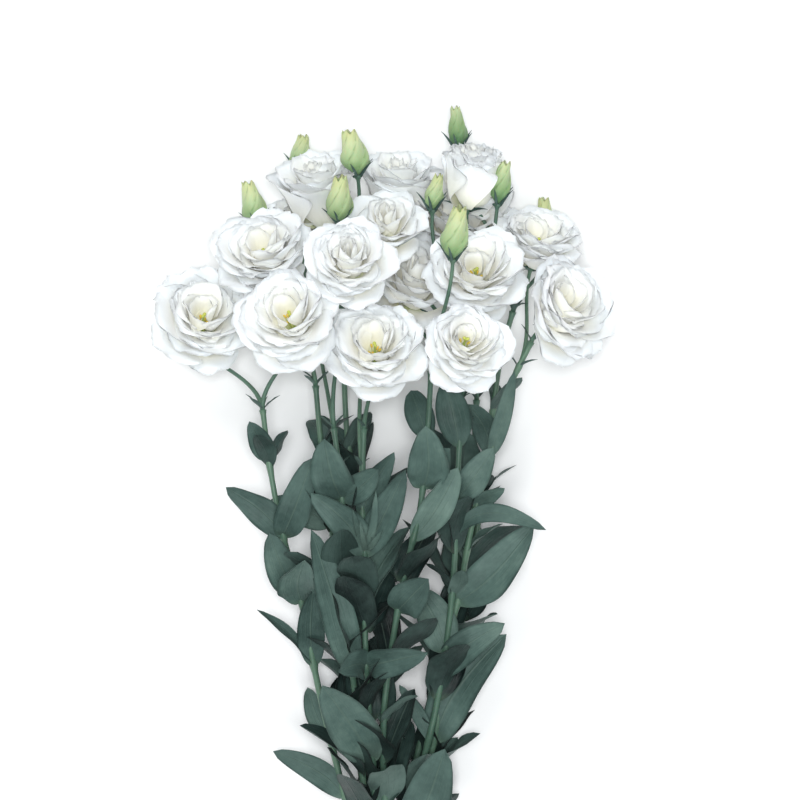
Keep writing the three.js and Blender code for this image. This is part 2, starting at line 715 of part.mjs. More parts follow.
// A main stem: spread at its cut end, straight through the tie, then along its curve.
function mainStem(stem) {
  const [x, z] = tieSeat(stem);
  const spread = LOWEST_ROW_Z + (z - LOWEST_ROW_Z) * FLARE;
  const low = [vec(x * FLARE, CUT_END_Y, spread), vec(x, -TIE_WIDTH, z)];
  const high = stemCurve(stem).getSpacedPoints(STEM_RINGS - 1);
  const taper = (p, k) => mix(STEM_RADIUS, STEM_TOP_RADIUS, k / (STEM_RINGS - 1));
  const radii = [...low.map(() => STEM_RADIUS), ...high.map(taper)];
  return stack(rodRings([...low, ...high], radii, STEM_SIDES));
}

// A flower's stalk: out along the stem, and in along the flower's axis. Both handles may be shifted.
function stalkLine(flower, root, shift) {
  const curve = stemCurve(STEMS[flower.stem]);
  const t = curveAt(curve, flower.fork);
  const start = curve.getPoint(t);
  const axis = facingOf(flower);
  const end = root.clone().addScaledVector(axis, -NECK);
  const reach = start.distanceTo(end) * STALK_HANDLE;
  const out = start.clone().addScaledVector(curve.getTangent(t), reach).add(shift);
  const back = end.clone().addScaledVector(axis, -reach).add(shift);
  return new THREE.CubicBezierCurve3(start, out, back, end);
}

// The rings of a stalk, whose last two carry the sepals.
function stalkRings(flower, root, shift) {
  const curve = stalkLine(flower, root, shift);
  const axis = facingOf(flower);
  const [foot, seat] = [NECK_END, CORE_FOOT + GAP].map((below) => root.clone().addScaledVector(axis, -below));
  const line = [...curve.getPoints(STALK_RINGS - 1), foot, seat];
  const radii = line.map((p) => (p === foot || p === seat ? CUSHION_RADIUS : STALK_RADIUS));
  return rodRings(line, radii, STALK_SIDES);
}

// The tip of the sepal between two points of the stalk's last ring, with its lean and scale.
function sepalTip(flower, root, rings, k, { lean, scale }) {
  const axis = facingOf(flower);
  const ring = rings[rings.length - 1];
  const middle = ring[k].clone().lerp(ring[(k + 1) % ring.length], 0.5);
  const out = middle.clone().sub(root);
  out.addScaledVector(axis, -out.dot(axis)).normalize();
  const heading = headingFrom(axis, out, lean);
  return middle.addScaledVector(axis, -SEPAL_DROP).addScaledVector(heading, SEPAL_LENGTH * scale);
}

// One sepal alone, to see what it would cross.
function sepalSolid(rings, k, tip) {
  const [foot, seat] = rings.slice(-2);
  const next = (k + 1) % seat.length;
  const middle = seat[k].clone().lerp(foot[next], 0.5);
  const base = [foot[k], foot[next], seat[next], seat[k]].map((p) => p.clone().lerp(middle, SEPAL_INSET));
  return solidOf([...base, tip], [[0, 1, 4], [1, 2, 4], [2, 3, 4], [3, 0, 4], [0, 2, 1], [0, 3, 2]]);
}

// ---- Leaves ----

// A leaf's middle line leaves along the stem and bends to its tip.
function leafLine(start, direction, tip) {
  const length = start.distanceTo(tip);
  const control = start
    .clone()
    .addScaledVector(direction, length * LEAF_START)
    .lerp(tip, LEAF_BEND);
  return new THREE.QuadraticBezierCurve3(start, control, tip);
}

// A leaf's half width at v along it, over its full half width.
const leafOutline = (v) => Math.sin(Math.PI * v ** LEAF_BELLY) ** LEAF_BLUNTNESS;

// A leaf as a thin blade, with rows of three points at some places along it.
function leafSolid({ start, direction, tip, width, facing, number, rowsAt }) {
  const line = leafLine(start, direction, tip);
  const rows = [[start]];
  rowsAt.forEach((v, j) => {
    const middle = line.getPoint(v);
    const tangent = line.getTangent(v);
    const side = vec(0, 0, 0).crossVectors(tangent, facing).normalize();
    const normal = vec(0, 0, 0).crossVectors(side, tangent);
    const half = (width / 2) * leafOutline(v);
    const wave = LEAF_WAVE * width * Math.cos(Math.PI * (j + number));
    rows.push(
      [-1, 0, 1].map((u) =>
        middle
          .clone()
          .addScaledVector(side, u * half)
          .addScaledVector(normal, Math.abs(u) * half * LEAF_FOLD + u * wave),
      ),
    );
  });
  rows.push([tip]);
  return blade(rows, LEAF_THICKNESS);
}

// ---- The tie ----

// The outline of a band about the ten stems, at a given distance from their middles.
function tieOutline(distance) {
  const corners = [[-1, 0], [1, 0], [1.5, 1], [1, 2], [-1, 2], [-1.5, 1]];
  const first = -Math.PI / 2 - Math.PI / 3;
  return corners.flatMap(([column, row], corner) => {
    const points = [];
    for (let k = 0; k < TIE_CORNER_POINTS; k += 1) {
      const share = k / (TIE_CORNER_POINTS - 1);
      const angle = first + (Math.PI / 3) * (corner + share);
      points.push([
        column * PITCH + distance * Math.cos(angle),
        LOWEST_ROW_Z + row * ROW_HEIGHT + distance * Math.sin(angle),
      ]);
    }
    return points;
  });
}

function tieSolid() {
  const band = (distance) => new wasm.CrossSection([tieOutline(distance)]);
  const outside = STEM_RADIUS + GAP + TIE_THICKNESS;
  const ring = band(outside).subtract(band(STEM_RADIUS + GAP));
  return Manifold.extrude(ring, TIE_WIDTH)
    .translate([0, 0, -TIE_WIDTH / 2])
    .rotate([90, 0, 0]);
}

// ---- Setting the pieces so that none crosses another ----

const standing = []; // each piece that stands already: its solid, its box and its label
const nodes = {}; // each node's pieces, before they are fused

// Adds a piece to its node, and keeps what is placed later clear of it.
function stand(solid, label, node) {
  standing.push({ solid, box: solid.boundingBox(), label });
  (nodes[node] ??= []).push(solid);
}

function boxesMeet(a, b) {
  return [0, 1, 2].every((k) => a.min[k] - CLEARANCE < b.max[k] && b.min[k] - CLEARANCE < a.max[k]);
}

// Whether a solid is clear of all that stands, but for the labels that it may touch.
function isClear(solid, labels) {
  const box = solid.boundingBox();
  return standing.every(
    (other) =>
      labels.includes(other.label) ||
      !boxesMeet(box, other.box) ||
      solid.minGap(other.solid, CLEARANCE) >= CLEARANCE,
  );
}

// The first choice whose solid is clear of the surface and of all that stands, or undefined.
function firstClear(choices, make, labels) {
  for (const choice of choices) {
    const solid = make(choice);
    if (solid.boundingBox().min[2] > CLEARANCE && isClear(solid, labels)) return { choice, solid };
  }
  return undefined;
}

// Places a bloom or bud, and returns its root.
function standFlower(flower) {
  if (!flower.form) {
    const root = budRoot(flower);
    stand(budSolid(flower, root), flower.name, flower.name);
    return root;
  }
  const free = bloomSolid(flower, bloomRoot(flower, 0));
  const lift = flower.rests ? -free.boundingBox().min[2] - SUNK : 0;
  const root = bloomRoot(flower, lift);
  stand(bloomSolid(flower, root).trimByPlane([0, 0, 1], 0), flower.name, flower.name);
  if (flower.stamens) {
    const name = flower.name.replace("bloom", "stamens");
    stand(stamensSolid(flower, root), name, name);
  }
  return root;
}

// The rings of a flower's stalk on the first way that is clear.
function standStalk(flower, root) {
  const label = `${flower.stem} stalks`;
  const make = (shift) => stack(stalkRings(flower, root, shift));
  const settled = firstClear(stalkShifts, make, [flower.stem, label]);
  if (!settled) throw new Error(`the stalk of ${flower.name} finds no way`);
  standing.push({ solid: settled.solid, box: settled.solid.boundingBox(), label });
  return stalkRings(flower, root, settled.choice);
}

// Adds a stalk to its stem, with a sepal drawn out of each side of its end.
function standSepals(flower, root, rings) {
  const own = [`${flower.stem} stalks`, `${flower.name} sepals`];
  const leans = flower.form ? BLOOM_SEPAL_LEANS : BUD_SEPAL_LEANS;
  const choices = leans.flatMap((lean) => SEPAL_SCALES.map((scale) => ({ lean, scale })));
  const tips = [];
  for (let k = 0; k < STALK_SIDES; k += 1) {
    const make = (choice) => sepalSolid(rings, k, sepalTip(flower, root, rings, k, choice));
    const settled = firstClear(choices, make, own);
    const solid = settled?.solid ?? make(STUB);
    standing.push({ solid, box: solid.boundingBox(), label: own[1] });
    tips.push(sepalTip(flower, root, rings, k, settled?.choice ?? STUB));
  }
  nodes[flower.stem].push(stack(rings, { after: rings.length - 2, tips }));
}

// Adds a leaf to its stem at a height, where one of the choices is clear.
function standLeaf(name, height, choices, leafOf) {
  const curve = stemCurve(STEMS[name]);
  const t = curveAt(curve, height);
  const start = curve.getPoint(t);
  const direction = curve.getTangent(t);
  const make = (choice) => leafSolid({ start, direction, ...leafOf(choice, start, direction) });
  const settled = firstClear(choices, make, [name, `${name} at ${height}`]);
  if (settled) stand(settled.solid, `${name} at ${height}`, name);
}

// A leaf that the bunch shows.
function standShownLeaf(leaf, number) {
  const facing = leaf.facing ? point(leaf.facing) : UP;
  const rowsAt = leaf.width < BROAD ? LEAF_ROWS : BROAD_ROWS;
  standLeaf(leaf.stem, leaf.from, TIP_SHIFTS, (rise) => {
    const tip = point(leaf.tip).addScaledVector(UP, rise);
    return { tip, width: leaf.width, facing, number, rowsAt };
  });
}

// An opposite pair of leaves behind them.
function standPair(name, height, pair) {
  for (const half of [0, 180])
    standLeaf(name, height, pairChoices, ({ scale, lean, turn }, start, direction) => {
      const [side] = acrossAxis(direction, radians(FIRST_TURN + PAIR_TURN * pair + half + turn));
      const tip = start.clone().addScaledVector(headingFrom(direction, side, lean), LEAF_LENGTH * scale);
      const facing = headingFrom(direction, side, lean - 90);
      return { tip, width: LEAF_WIDTH * scale, facing, number: pair, rowsAt: LEAF_ROWS };
    });
}

const stalkShifts = STALK_SHIFTS.flatMap((x) => STALK_SHIFTS.map((z) => vec(x, 0, z)));
stalkShifts.sort((a, b) => a.length() - b.length());
const pairChoices = LEAF_SCALES.flatMap((scale) =>
  LEAF_LEANS.flatMap((lean) => TURN_SHIFTS.map((turn) => ({ scale, lean, turn }))),
);

stand(tieSolid(), "tie", "tie");
for (const [name, stem] of Object.entries(STEMS)) stand(mainStem(stem), name, name);
const roots = new Map([...BLOOMS, ...BUDS].map((flower) => [flower, standFlower(flower)]));
const stalks = new Map([...roots].map(([flower, root]) => [flower, standStalk(flower, root)]));
for (const [flower, rings] of stalks) standSepals(flower, roots.get(flower), rings);
SHOWN_LEAVES.forEach(standShownLeaf);
for (const [name, heights] of Object.entries(MORE_LEAVES))
  heights.forEach((height, pair) => standPair(name, height, pair));

// ---- The nodes ----

const LOOKS = {
  stem: { color: 0x6f9a78, roughness: 0.55 },
  bloom: { color: 0xf6f5ee, roughness: 0.6 },
  bud: { color: 0xb9cf8a, roughness: 0.5 },
  stamens: { color: 0xc9bd4a, roughness: 0.7 },
  tie: { color: 0xc9a66b, roughness: 0.6 },
};
const DETAIL = 0.1; // finer steps than this are smoothed away where pieces are fused

// The fused body, without the loose scraps that trimming can leave.
function largestBody(solid) {
  return solid.decompose().sort((a, b) => b.volume() - a.volume())[0];
}

function nodeMesh(name, pieces) {
  const mesh = largestBody(Manifold.union(pieces).simplify(DETAIL)).getMesh();
  const geometry = new THREE.BufferGeometry();
  geometry.setAttribute("position", new THREE.BufferAttribute(new Float32Array(mesh.vertProperties), 3));
  geometry.setIndex(new THREE.BufferAttribute(new Uint32Array(mesh.triVerts), 1));
  const [kind] = name.split("_");
  const node = new THREE.Mesh(geometry, new THREE.MeshStandardMaterial(LOOKS[kind]));
  node.name = name;
  return node;
}

const bunch = new THREE.Group();
for (const [name, pieces] of Object.entries(nodes)) bunch.add(nodeMesh(name, pieces));

export default bunch;
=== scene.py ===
"""A tied bunch of white double lisianthus, lying down and seen from above.

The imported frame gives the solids. This script repeats their sizes and places in millimetres, finds in
the frame which of the tried places each stalk, sepal and leaf took, and puts finer pieces there.
"""

import math

import bpy
import numpy as np
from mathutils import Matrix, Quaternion, Vector
from mathutils.kdtree import KDTree


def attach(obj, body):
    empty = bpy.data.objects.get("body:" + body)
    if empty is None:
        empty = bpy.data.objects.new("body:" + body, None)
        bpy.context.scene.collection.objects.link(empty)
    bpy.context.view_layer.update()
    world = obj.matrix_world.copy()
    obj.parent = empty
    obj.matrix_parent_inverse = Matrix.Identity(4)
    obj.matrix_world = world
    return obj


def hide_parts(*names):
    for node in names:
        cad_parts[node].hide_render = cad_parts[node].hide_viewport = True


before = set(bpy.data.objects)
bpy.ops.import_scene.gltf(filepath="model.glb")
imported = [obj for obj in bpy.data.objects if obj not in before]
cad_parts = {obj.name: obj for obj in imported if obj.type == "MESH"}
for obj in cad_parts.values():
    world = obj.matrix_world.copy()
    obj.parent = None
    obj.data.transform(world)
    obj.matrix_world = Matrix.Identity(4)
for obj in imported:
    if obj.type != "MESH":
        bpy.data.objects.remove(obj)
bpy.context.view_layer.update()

MM = 0.001
BODY = "root"
UPWARD = (0, 0, 1)

# ---- Camera, floor and light ----

PICTURE_MIDDLE = (10.5, 378, 80)  # what the middle of the picture shows, in millimetres
PICTURE_WIDTH = 560  # how much of the bunch the picture is wide, in millimetres
CAMERA_HEIGHT = 2600  # above that point
SENSOR = 36
CAMERA_REACH = 100  # how far the camera sees, in metres
FLOOR_SIZE = 6.0  # in metres
FLOOR_DROP = 0.0004
WORLD_COLOUR = (0.955, 0.98, 1, 1)
WORLD_STRENGTH = 0.46
WHITE = (1, 1, 1)

# Soft lights: their place and what they are aimed at, in metres, their size, power and colour.
LIGHTS = {
    "front": ((0, 0.42, 4.2), (0, 0.38, 0.05), 0.9, 89, (0.98, 0.993, 1)),
    "low": ((0.2, -1.7, 2.8), (0, 0.45, 0.08), 1.4, 31, WHITE),
    "high": ((-0.6, 2.2, 2.5), (0, 0.48, 0.06), 1.4, 25, WHITE),
}


def add_camera():
    data = bpy.data.cameras.new("camera")
    data.sensor_width = SENSOR
    data.lens = SENSOR * CAMERA_HEIGHT / PICTURE_WIDTH
    data.clip_end = CAMERA_REACH
    camera = bpy.data.objects.new("camera", data)
    camera.location = Vector(PICTURE_MIDDLE) * MM + Vector((0, 0, CAMERA_HEIGHT * MM))
    bpy.context.scene.collection.objects.link(camera)
    bpy.context.scene.camera = camera


def add_area_light(name, place, aim, size, power, colour):
    data = bpy.data.lights.new(name, "AREA")
    data.shape = "DISK"
    data.size = size
    data.energy = power
    data.color = colour
    light = bpy.data.objects.new(name, data)
    light.location = place
    light.rotation_mode = "QUATERNION"
    light.rotation_quaternion = (Vector(aim) - Vector(place)).to_track_quat("-Z", "Y")
    bpy.context.scene.collection.objects.link(light)


def add_studio():
    world = bpy.data.worlds.new("studio")
    world.use_nodes = True
    background = world.node_tree.nodes["Background"]
    background.inputs["Color"].default_value = WORLD_COLOUR
    background.inputs["Strength"].default_value = WORLD_STRENGTH
    bpy.context.scene.world = world
    bpy.context.scene.view_settings.view_transform = "Standard"
    for name, light in LIGHTS.items():
        add_area_light(name, *light)


def add_floor():
    half = FLOOR_SIZE / 2
    corners = [(-half, -half), (half, -half), (half, half), (-half, half)]
    mesh = bpy.data.meshes.new("floor")
    mesh.from_pydata([(x, y, -FLOOR_DROP) for x, y in corners], [], [(0, 1, 2, 3)])
    floor = bpy.data.objects.new("floor", mesh)
    bpy.context.scene.collection.objects.link(floor)
    mesh.materials.append(floor_material())


# ---- Sizes that the solids share, in millimetres ----

STEM_RADIUS = 2.5
STEM_TOP_RADIUS = 1.8
CUT_END_Y = -90
FLARE = 1.7  # how far the stems spread again at their cut ends
HALVINGS = 30  # of the search for a height along a stem

STALK_RADIUS = 1.3
STALK_SIDES = 5  # of a stalk in the solids
STALK_STEPS = 3  # and its steps before the neck
STALK_HANDLE = 0.35
STALK_SHIFTS = (0, 10, -10, 20, -20, 32, -32, 45, -45)
NECK = 6  # how far below a flower's root its stalk stops bending
NECK_END = 2.9
CUSHION_RADIUS = 2.8
CORE_FOOT = 1
GAP = 0.3

SEPAL_LENGTH = 16
SEPAL_SCALES = (1, 0.75)
SEPAL_DROP = 0.5
BLOOM_SEPAL_LEANS = (72, 84, 60)
BUD_SEPAL_LEANS = (38, 50, 64)
STUB = (90, 0.1)  # the lean and scale of a sepal that found no room

TIE_WIDTH = 12
TIE_THICKNESS = 1.5
PITCH = 2 * STEM_RADIUS + GAP
ROW_HEIGHT = PITCH * math.sqrt(3) / 2
LOWEST_ROW_Z = TIE_THICKNESS + GAP + STEM_RADIUS

PETAL_CLAW = 0.15
PETAL_WIDEST = 0.8
HEART_HEIGHT = 28
PETALS = 5
HALF_PETAL = 180 / PETALS
FILL_POWER = 1.4
ROUND_POWER = 2.5
ROOT_THICKNESS = 1.2
LAP = 2
LAP_STARTS = 6
RUFFLE = 2.4
RUFFLE_RADIUS = 24
RUFFLE_POWER = 3
RUFFLE_WAVES = 1.5
RUFFLE_PHASE = math.pi
RUFFLE_SPREAD = 2.2
LINE_STEPS = 12
TIGHTEST = 8

LEAF_FOLD = 0.18
LEAF_START = 0.1
LEAF_BEND = 0.22
TIP_SHIFTS = (0, 6, -6, 12, -12, 18, -18, 26, -26, 34, -34, 44)
LEAF_LENGTH = 66
LEAF_WIDTH = 25
FIRST_TURN = 45
PAIR_TURN = 90
TURN_SHIFTS = (0, 30, -30, 60, -60)
LEAF_LEANS = (40, 25, 60)
LEAF_SCALES = (1, 0.75)

STAMEN_REACH = 4.2
STAMEN_HEIGHT = 14
STAMEN_FOOT = 2
PISTIL_HEIGHTS = (0, 2, 4.5, 11, 16)
INNERMOST_ROOT = 4.4  # how high the innermost petals of an open bloom start in the solids

# ---- Stems, flowers and leaves, in millimetres ----

# Every stem: its seat in the tie, in columns and rows, then the points that its middle line passes.
STEMS = {
    "stem_a": (
        (-1.5, 1), (-31.5, 105, 30), (-49, 182, 48), (-59.5, 238, 60), (-71, 280, 68),
        (-80.5, 329, 72), (-86, 371, 70),
    ),
    "stem_b": (
        (-0.5, 1), (-23, 154, 38), (-31.5, 224, 52), (-38.5, 294, 60), (-45.5, 350, 62),
        (-49, 388, 60),
    ),
    "stem_c": (
        (-1, 2), (-19, 140, 48), (-24, 203, 66), (-28, 266, 80), (-31, 322, 86), (-35.7, 358, 84),
    ),
    "stem_d": (
        (0, 2), (-9, 119, 44), (-12, 168, 60), (-14, 210, 72), (-14, 266, 86), (-16, 308, 90),
        (-14.7, 358, 86),
    ),
    "stem_e": (
        (1, 2), (0, 168, 58), (5.6, 210, 70), (16, 266, 84), (23, 294, 88), (29.4, 350, 88),
        (32.2, 398, 82),
    ),
    "stem_f": (
        (0.5, 1), (22, 100, 26), (35, 154, 40), (44, 210, 52), (49, 266, 60), (50.4, 308, 64),
        (54, 378, 64),
    ),
    "stem_g": (
        (0, 0), (18, 100, 10), (33, 168, 18), (47, 238, 26), (56, 301, 32), (61.6, 329, 34),
        (65, 378, 38),
    ),
    "stem_h": (
        (1.5, 1), (24, 90, 20), (36.4, 143, 30), (42, 196, 42), (51, 234, 48), (63.7, 300, 56),
        (72.8, 332, 60), (84.7, 380, 64), (103, 419, 62),
    ),
    "stem_i": (
        (1, 0), (27, 100, 8), (38.5, 154, 12), (56, 224, 18), (67, 294, 24), (76, 364, 28),
        (84, 416, 30), (91, 441, 32),
    ),
    "stem_j": (
        (-1, 0), (-12, 140, 14), (-16, 210, 20), (-21, 294, 26), (-28, 364, 32), (-30, 430, 36),
    ),
}

FLOWER_COLUMNS = ("name", "stem", "fork", "at", "facing")
BLOOM_COLUMNS = (*FLOWER_COLUMNS, "size", "form", "turn", "fuller")
BUD_COLUMNS = (*FLOWER_COLUMNS, "length", "width", "turn", "longer", "slim", "greener")
LEAF_COLUMNS = ("stem", "from", "tip", "width", "slim", "facing", "sway")


def rows_of(columns, *rows):
    """Rows with named columns, of which the last may be left out."""
    return [dict(zip(columns, row)) for row in rows]


# Every bloom, as the solids have it: its stem, where it leaves that stem along Y, the middle of its
# outline, the way it faces, its size over a full bloom, its form, how far it is turned, and how much
# fuller it is drawn here.
BLOOMS = rows_of(
    BLOOM_COLUMNS,
    ("bloom_16", "stem_c", 330, (-62, 503, 30), (-0.1, 0.85, 0.52), 0.6, "plain", 10, 1.35),
    ("bloom_10", "stem_j", 430, (-49, 527, 46), (-0.12, 0.9, 0.42), 1, "cupped", 0, 1.12),
    ("bloom_09", "stem_h", 400, (108.5, 493, 50), (0.2, 0.85, 0.48), 0.82, "open", 20, 1.06),
    ("bloom_11", "stem_g", 378, (8, 529, 30), (0.05, 0.9, 0.42), 0.8, "cupped", 50, 1.25),
    ("bloom_13", "stem_d", 330, (1.4, 503, 70), (0, 0.62, 0.78), 0.76, "plain", 5, 1.02),
    ("bloom_14", "stem_f", 360, (53, 508, 34), (0.1, 0.8, 0.59), 0.66, "plain", 40, 1.75),
    ("bloom_12", "stem_i", 441, (61, 540, 62), (0.1, 0.93, 0.36), 0.98, "half_open", 30, 1.12),
    ("bloom_15", "stem_g", 378, (20, 458, 52), (0.05, 0.7, 0.71), 0.66, "plain", 0, 1.6),
    ("bloom_01", "stem_a", 371, (-127, 435, 62), (0.15, 0.5, 0.85), 0.9, "open", 60, 1.1),
    ("bloom_03", "stem_b", 388, (-86, 484, 76), (-0.2, 0.7, 0.68), 0.92, "open", 15, 1.05),
    ("bloom_08", "stem_h", 419, (130, 440, 84), (0.6, 0.35, 0.72), 0.92, "open", 33, 1.12),
    ("bloom_07", "stem_f", 378, (64, 468, 88), (0.05, 0.55, 0.83), 0.96, "open", 50),
    ("bloom_02", "stem_a", 371, (-68, 433, 118), (-0.2, 0.35, 0.92), 0.97, "open", 25),
    ("bloom_05", "stem_d", 358, (-7, 414, 108), (0, 0.5, 0.87), 0.94, "open", 54),
    ("bloom_04", "stem_c", 358, (-24.5, 475, 120), (0, 0.5, 0.87), 0.9, "closed_heart", 0),
    ("bloom_06", "stem_e", 398, (58, 413, 122), (0.3, 0.25, 0.92), 0.84, "open", 12),
)
RESTING = ("bloom_16", "bloom_14")  # they were carried up or down until they rested on others

# Every bud: the same, its length, width and turn in the solids, and how much longer, slimmer and
# greener it is drawn here.
BUDS = rows_of(
    BUD_COLUMNS,
    ("bud_08", "stem_i", 441, (116, 503, 10), (0.05, 0.99, 0.1), 29, 13, 0, 1.2),
    ("bud_01", "stem_b", 388, (-93, 518, 40), (-0.12, 0.98, 0.15), 32, 15, 20),
    ("bud_02", "stem_j", 400, (-61, 556, 14), (0.05, 0.98, 0.2), 24, 12, 50, 1, 1.1),
    ("bud_03", "stem_j", 430, (-21, 553, 64), (-0.1, 0.98, 0.15), 31, 17, 5),
    ("bud_04", "stem_j", 430, (-33, 519, 76), (-0.1, 0.95, 0.3), 32, 16, 30),
    ("bud_05", "stem_g", 378, (34, 525, 70), (0.05, 0.97, 0.25), 24, 11, 0),
    ("bud_06", "stem_i", 441, (52, 573, 34), (0, 0.98, 0.2), 29, 15, 45, 1, 0.76, 2.4),
    ("bud_07", "stem_f", 378, (81, 532, 60), (0.1, 0.97, 0.2), 29, 13, 12, 1, 1, 1.8),
    ("bud_09", "stem_e", 398, (48, 493.5, 124), (0.05, 0.93, 0.35), 36, 14, 25, 1, 1.16),
)

# The leaves that show: their stem, where they leave it along Y, their tip, their width in the solids,
# how much of it they keep here, the way they face and how far they bend to one side.
SHOWN_LEAVES = rows_of(
    LEAF_COLUMNS,
    ("stem_a", 336, (-94.5, 362, 84), 11, 1.35),
    ("stem_a", 282, (-110.6, 316, 80), 19),
    ("stem_a", 282, (-51, 336, 96), 21),
    ("stem_a", 235, (-80.5, 284, 84), 21),
    ("stem_a", 235, (-56, 264, 106), 25),
    ("stem_a", 190, (-89.6, 231, 60), 19, 0.5, (0.9, 0, 0.4)),
    ("stem_a", 190, (-50.4, 245, 78), 18),
    ("stem_a", 95, (-79, 128, 44), 21, 0.8),
    ("stem_a", 136, (-56, 172, 14), 21, 0.65),
    ("stem_b", 290, (-82, 307, 44), 19),
    ("stem_c", 308, (-42, 351, 112), 26),
    ("stem_c", 308, (-5, 330, 118), 18, 1, (-0.5, 0, 0.8)),
    ("stem_c", 187, (-51, 287, 94), 22),
    ("stem_d", 66, (-5, 115, 72), 34),
    ("stem_d", 269, (-49, 311, 112), 20),
    ("stem_d", 269, (14, 329, 112), 20),
    ("stem_d", 297, (6, 341, 110), 16),
    ("stem_d", 190, (-28.7, 190, 104), 19),
    ("stem_d", 190, (29.4, 202, 96), 20),
    ("stem_d", 122, (-43.4, 180, 78), 30),
    ("stem_e", 317, (28, 357, 124), 26),
    ("stem_e", 317, (44, 343, 106), 17),
    ("stem_e", 280, (50, 330, 104), 20),
    ("stem_e", 230, (28, 252, 112), 24),
    ("stem_e", 350, (18, 385, 72), 18),
    ("stem_f", 308, (76, 344, 78), 19),
    ("stem_f", 345, (42, 392, 56), 22),
    ("stem_f", 284, (112, 287, 82), 19, 0.62, (0, 0, 1), -0.17),
    ("stem_f", 200, (22, 245, 46), 25),
    ("stem_f", 136, (10, 175, 40), 16, 0.6),
    ("stem_h", 339, (58, 376, 50), 17),
    ("stem_h", 301, (84, 316, 72), 13, 0.8),
    ("stem_h", 339, (90, 396, 84), 11),
    ("stem_h", 234, (104, 289, 72), 27),
    ("stem_h", 183, (84, 220, 60), 21),
    ("stem_h", 136, (86, 212, 46), 28),
    ("stem_f", 60, (42, 132, 62), 30),
)
# The leaves behind them: heights along each stem, with an opposite pair at each.
MORE_LEAVES = {
    "stem_a": (330,),
    "stem_b": (235, 340),
    "stem_c": (110, 240),
    "stem_d": (235,),
    "stem_e": (90, 150),
    "stem_f": (90, 240),
    "stem_g": (110, 175, 240, 300),
    "stem_h": (95, 270),
    "stem_i": (190, 250, 310, 370),
    "stem_j": (150, 215, 280, 340),
}

# Of these, the pairs that lie over what shows in the picture are drawn smaller than their solids.
SMALLER_PAIRS = {
    "stem_a": {330: 0.5}, "stem_b": {340: 0.55}, "stem_e": {150: 0.6}, "stem_f": {240: 0.45},
    "stem_h": {270: 0.5}, "stem_i": {310: 0.5, 370: 0.55}, "stem_j": {340: 0.6},
}

# Leaves further back that only the scene has, in pairs as well.
BACK_LEAVES = {
    "stem_b": (90, 130, 180, 285),
    "stem_c": (80, 150, 200, 275),
    "stem_d": (100, 150, 215),
    "stem_e": (120, 190, 250),
    "stem_f": (165, 270),
    "stem_g": (50, 80, 205, 268),
    "stem_i": (60, 110, 150, 220),
    "stem_j": (50, 110, 180, 250, 310),
}

# The small pale leaves of a side shoot that only starts to grow.
YOUNG_LEAVES = rows_of(
    LEAF_COLUMNS,
    ("stem_d", 272, (-7, 312, 116), 5.5),
    ("stem_d", 272, (-22, 302, 112), 4.5),
    ("stem_d", 272, (-2, 287, 110), 4),
    ("stem_d", 272, (-17, 292, 110), 3.5),
)

# ---- Petals ----


def whorl(lean, length, width, round_off, root, turn, folds=1.0):
    """Petals about one ring: their lean from the axis at root, middle and rim in degrees, their length
    and width, how rounded their ends are, the radius and height of their roots, the ring's turn, and
    how deep the folds of their rims are."""
    return {
        "lean": lean, "length": length, "width": width, "round": round_off,
        "root": root, "turn": turn, "folds": folds,
    }


CUPPED_FOLDS = 0.5
HALF_OPEN_FOLDS = 1.7

# The whorls of each form, from the outermost in: the solids have fewer and narrower petals.
OUTER = whorl((70, 38, 75), 48, 64, 0.14, (4, 0.8), 0)
WHORLS = {
    "open": (
        OUTER,
        whorl((64, 34, 70), 46, 64, 0.12, (3.8, 1.6), 36),
        whorl((60, 29, 66), 44, 62, 0.12, (3.6, 2.4), 12),
        whorl((57, 26, 62), 41, 60, 0.1, (3.3, 3.3), 50),
        whorl((52, 21, 52), 38, 56, 0.1, (3, 4.4), 20),
        whorl((44, 13, 34), 33, 40, 0.1, (2.8, 5), 58),
    ),
    "closed_heart": (
        OUTER,
        whorl((62, 31, 68), 45, 62, 0.12, (3.8, 1.6), 36),
        whorl((57, 24, 60), 43, 60, 0.1, (3.5, 2.4), 14),
        whorl((50, 16, 46), 41, 55, 0.1, (3.2, 3.1), 48),
        whorl((42, 6, 24), 39, 44, 0.1, (2.9, 3.8), 60),
        whorl((30, -3, 4), 35, 30, 0.12, (2.2, 5), 88),
    ),
    "plain": (
        OUTER,
        whorl((58, 23, 58), 44, 60, 0.1, (3.6, 1.8), 36),
        whorl((46, 11, 40), 41, 50, 0.1, (3, 2.8), 10),
        whorl((32, 0, 14), 37, 34, 0.12, (2, 4.2), 60),
    ),
    "cupped": (
        whorl((76, 16, 58), 49, 60, 0.16, (4, 0.8), 0, CUPPED_FOLDS),
        whorl((62, 12, 54), 46, 54, 0.14, (3.6, 1.8), 36, CUPPED_FOLDS),
        whorl((40, 4, 36), 44, 40, 0.18, (2.8, 2.8), 12, CUPPED_FOLDS),
        whorl((28, -3, 12), 41, 26, 0.15, (2, 4.2), 60, CUPPED_FOLDS),
    ),
    "half_open": (
        whorl((84, 6, 30), 41, 44, 0.1, (3.8, 0.8), 0, HALF_OPEN_FOLDS),
        whorl((68, 5, 26), 41, 44, 0.1, (3.2, 1.8), 36, HALF_OPEN_FOLDS),
        whorl((50, 3, 22), 40, 38, 0.14, (2.6, 2.8), 12, HALF_OPEN_FOLDS),
        whorl((32, 1, 12), 38, 28, 0.12, (1.8, 4), 60, HALF_OPEN_FOLDS),
    ),
}
PETAL_ROWS = 15
PETAL_COLUMNS = 19
PETAL_THICKNESS = 0.42
CORNER_DRAW = 0.36  # how far a petal's corners are drawn in
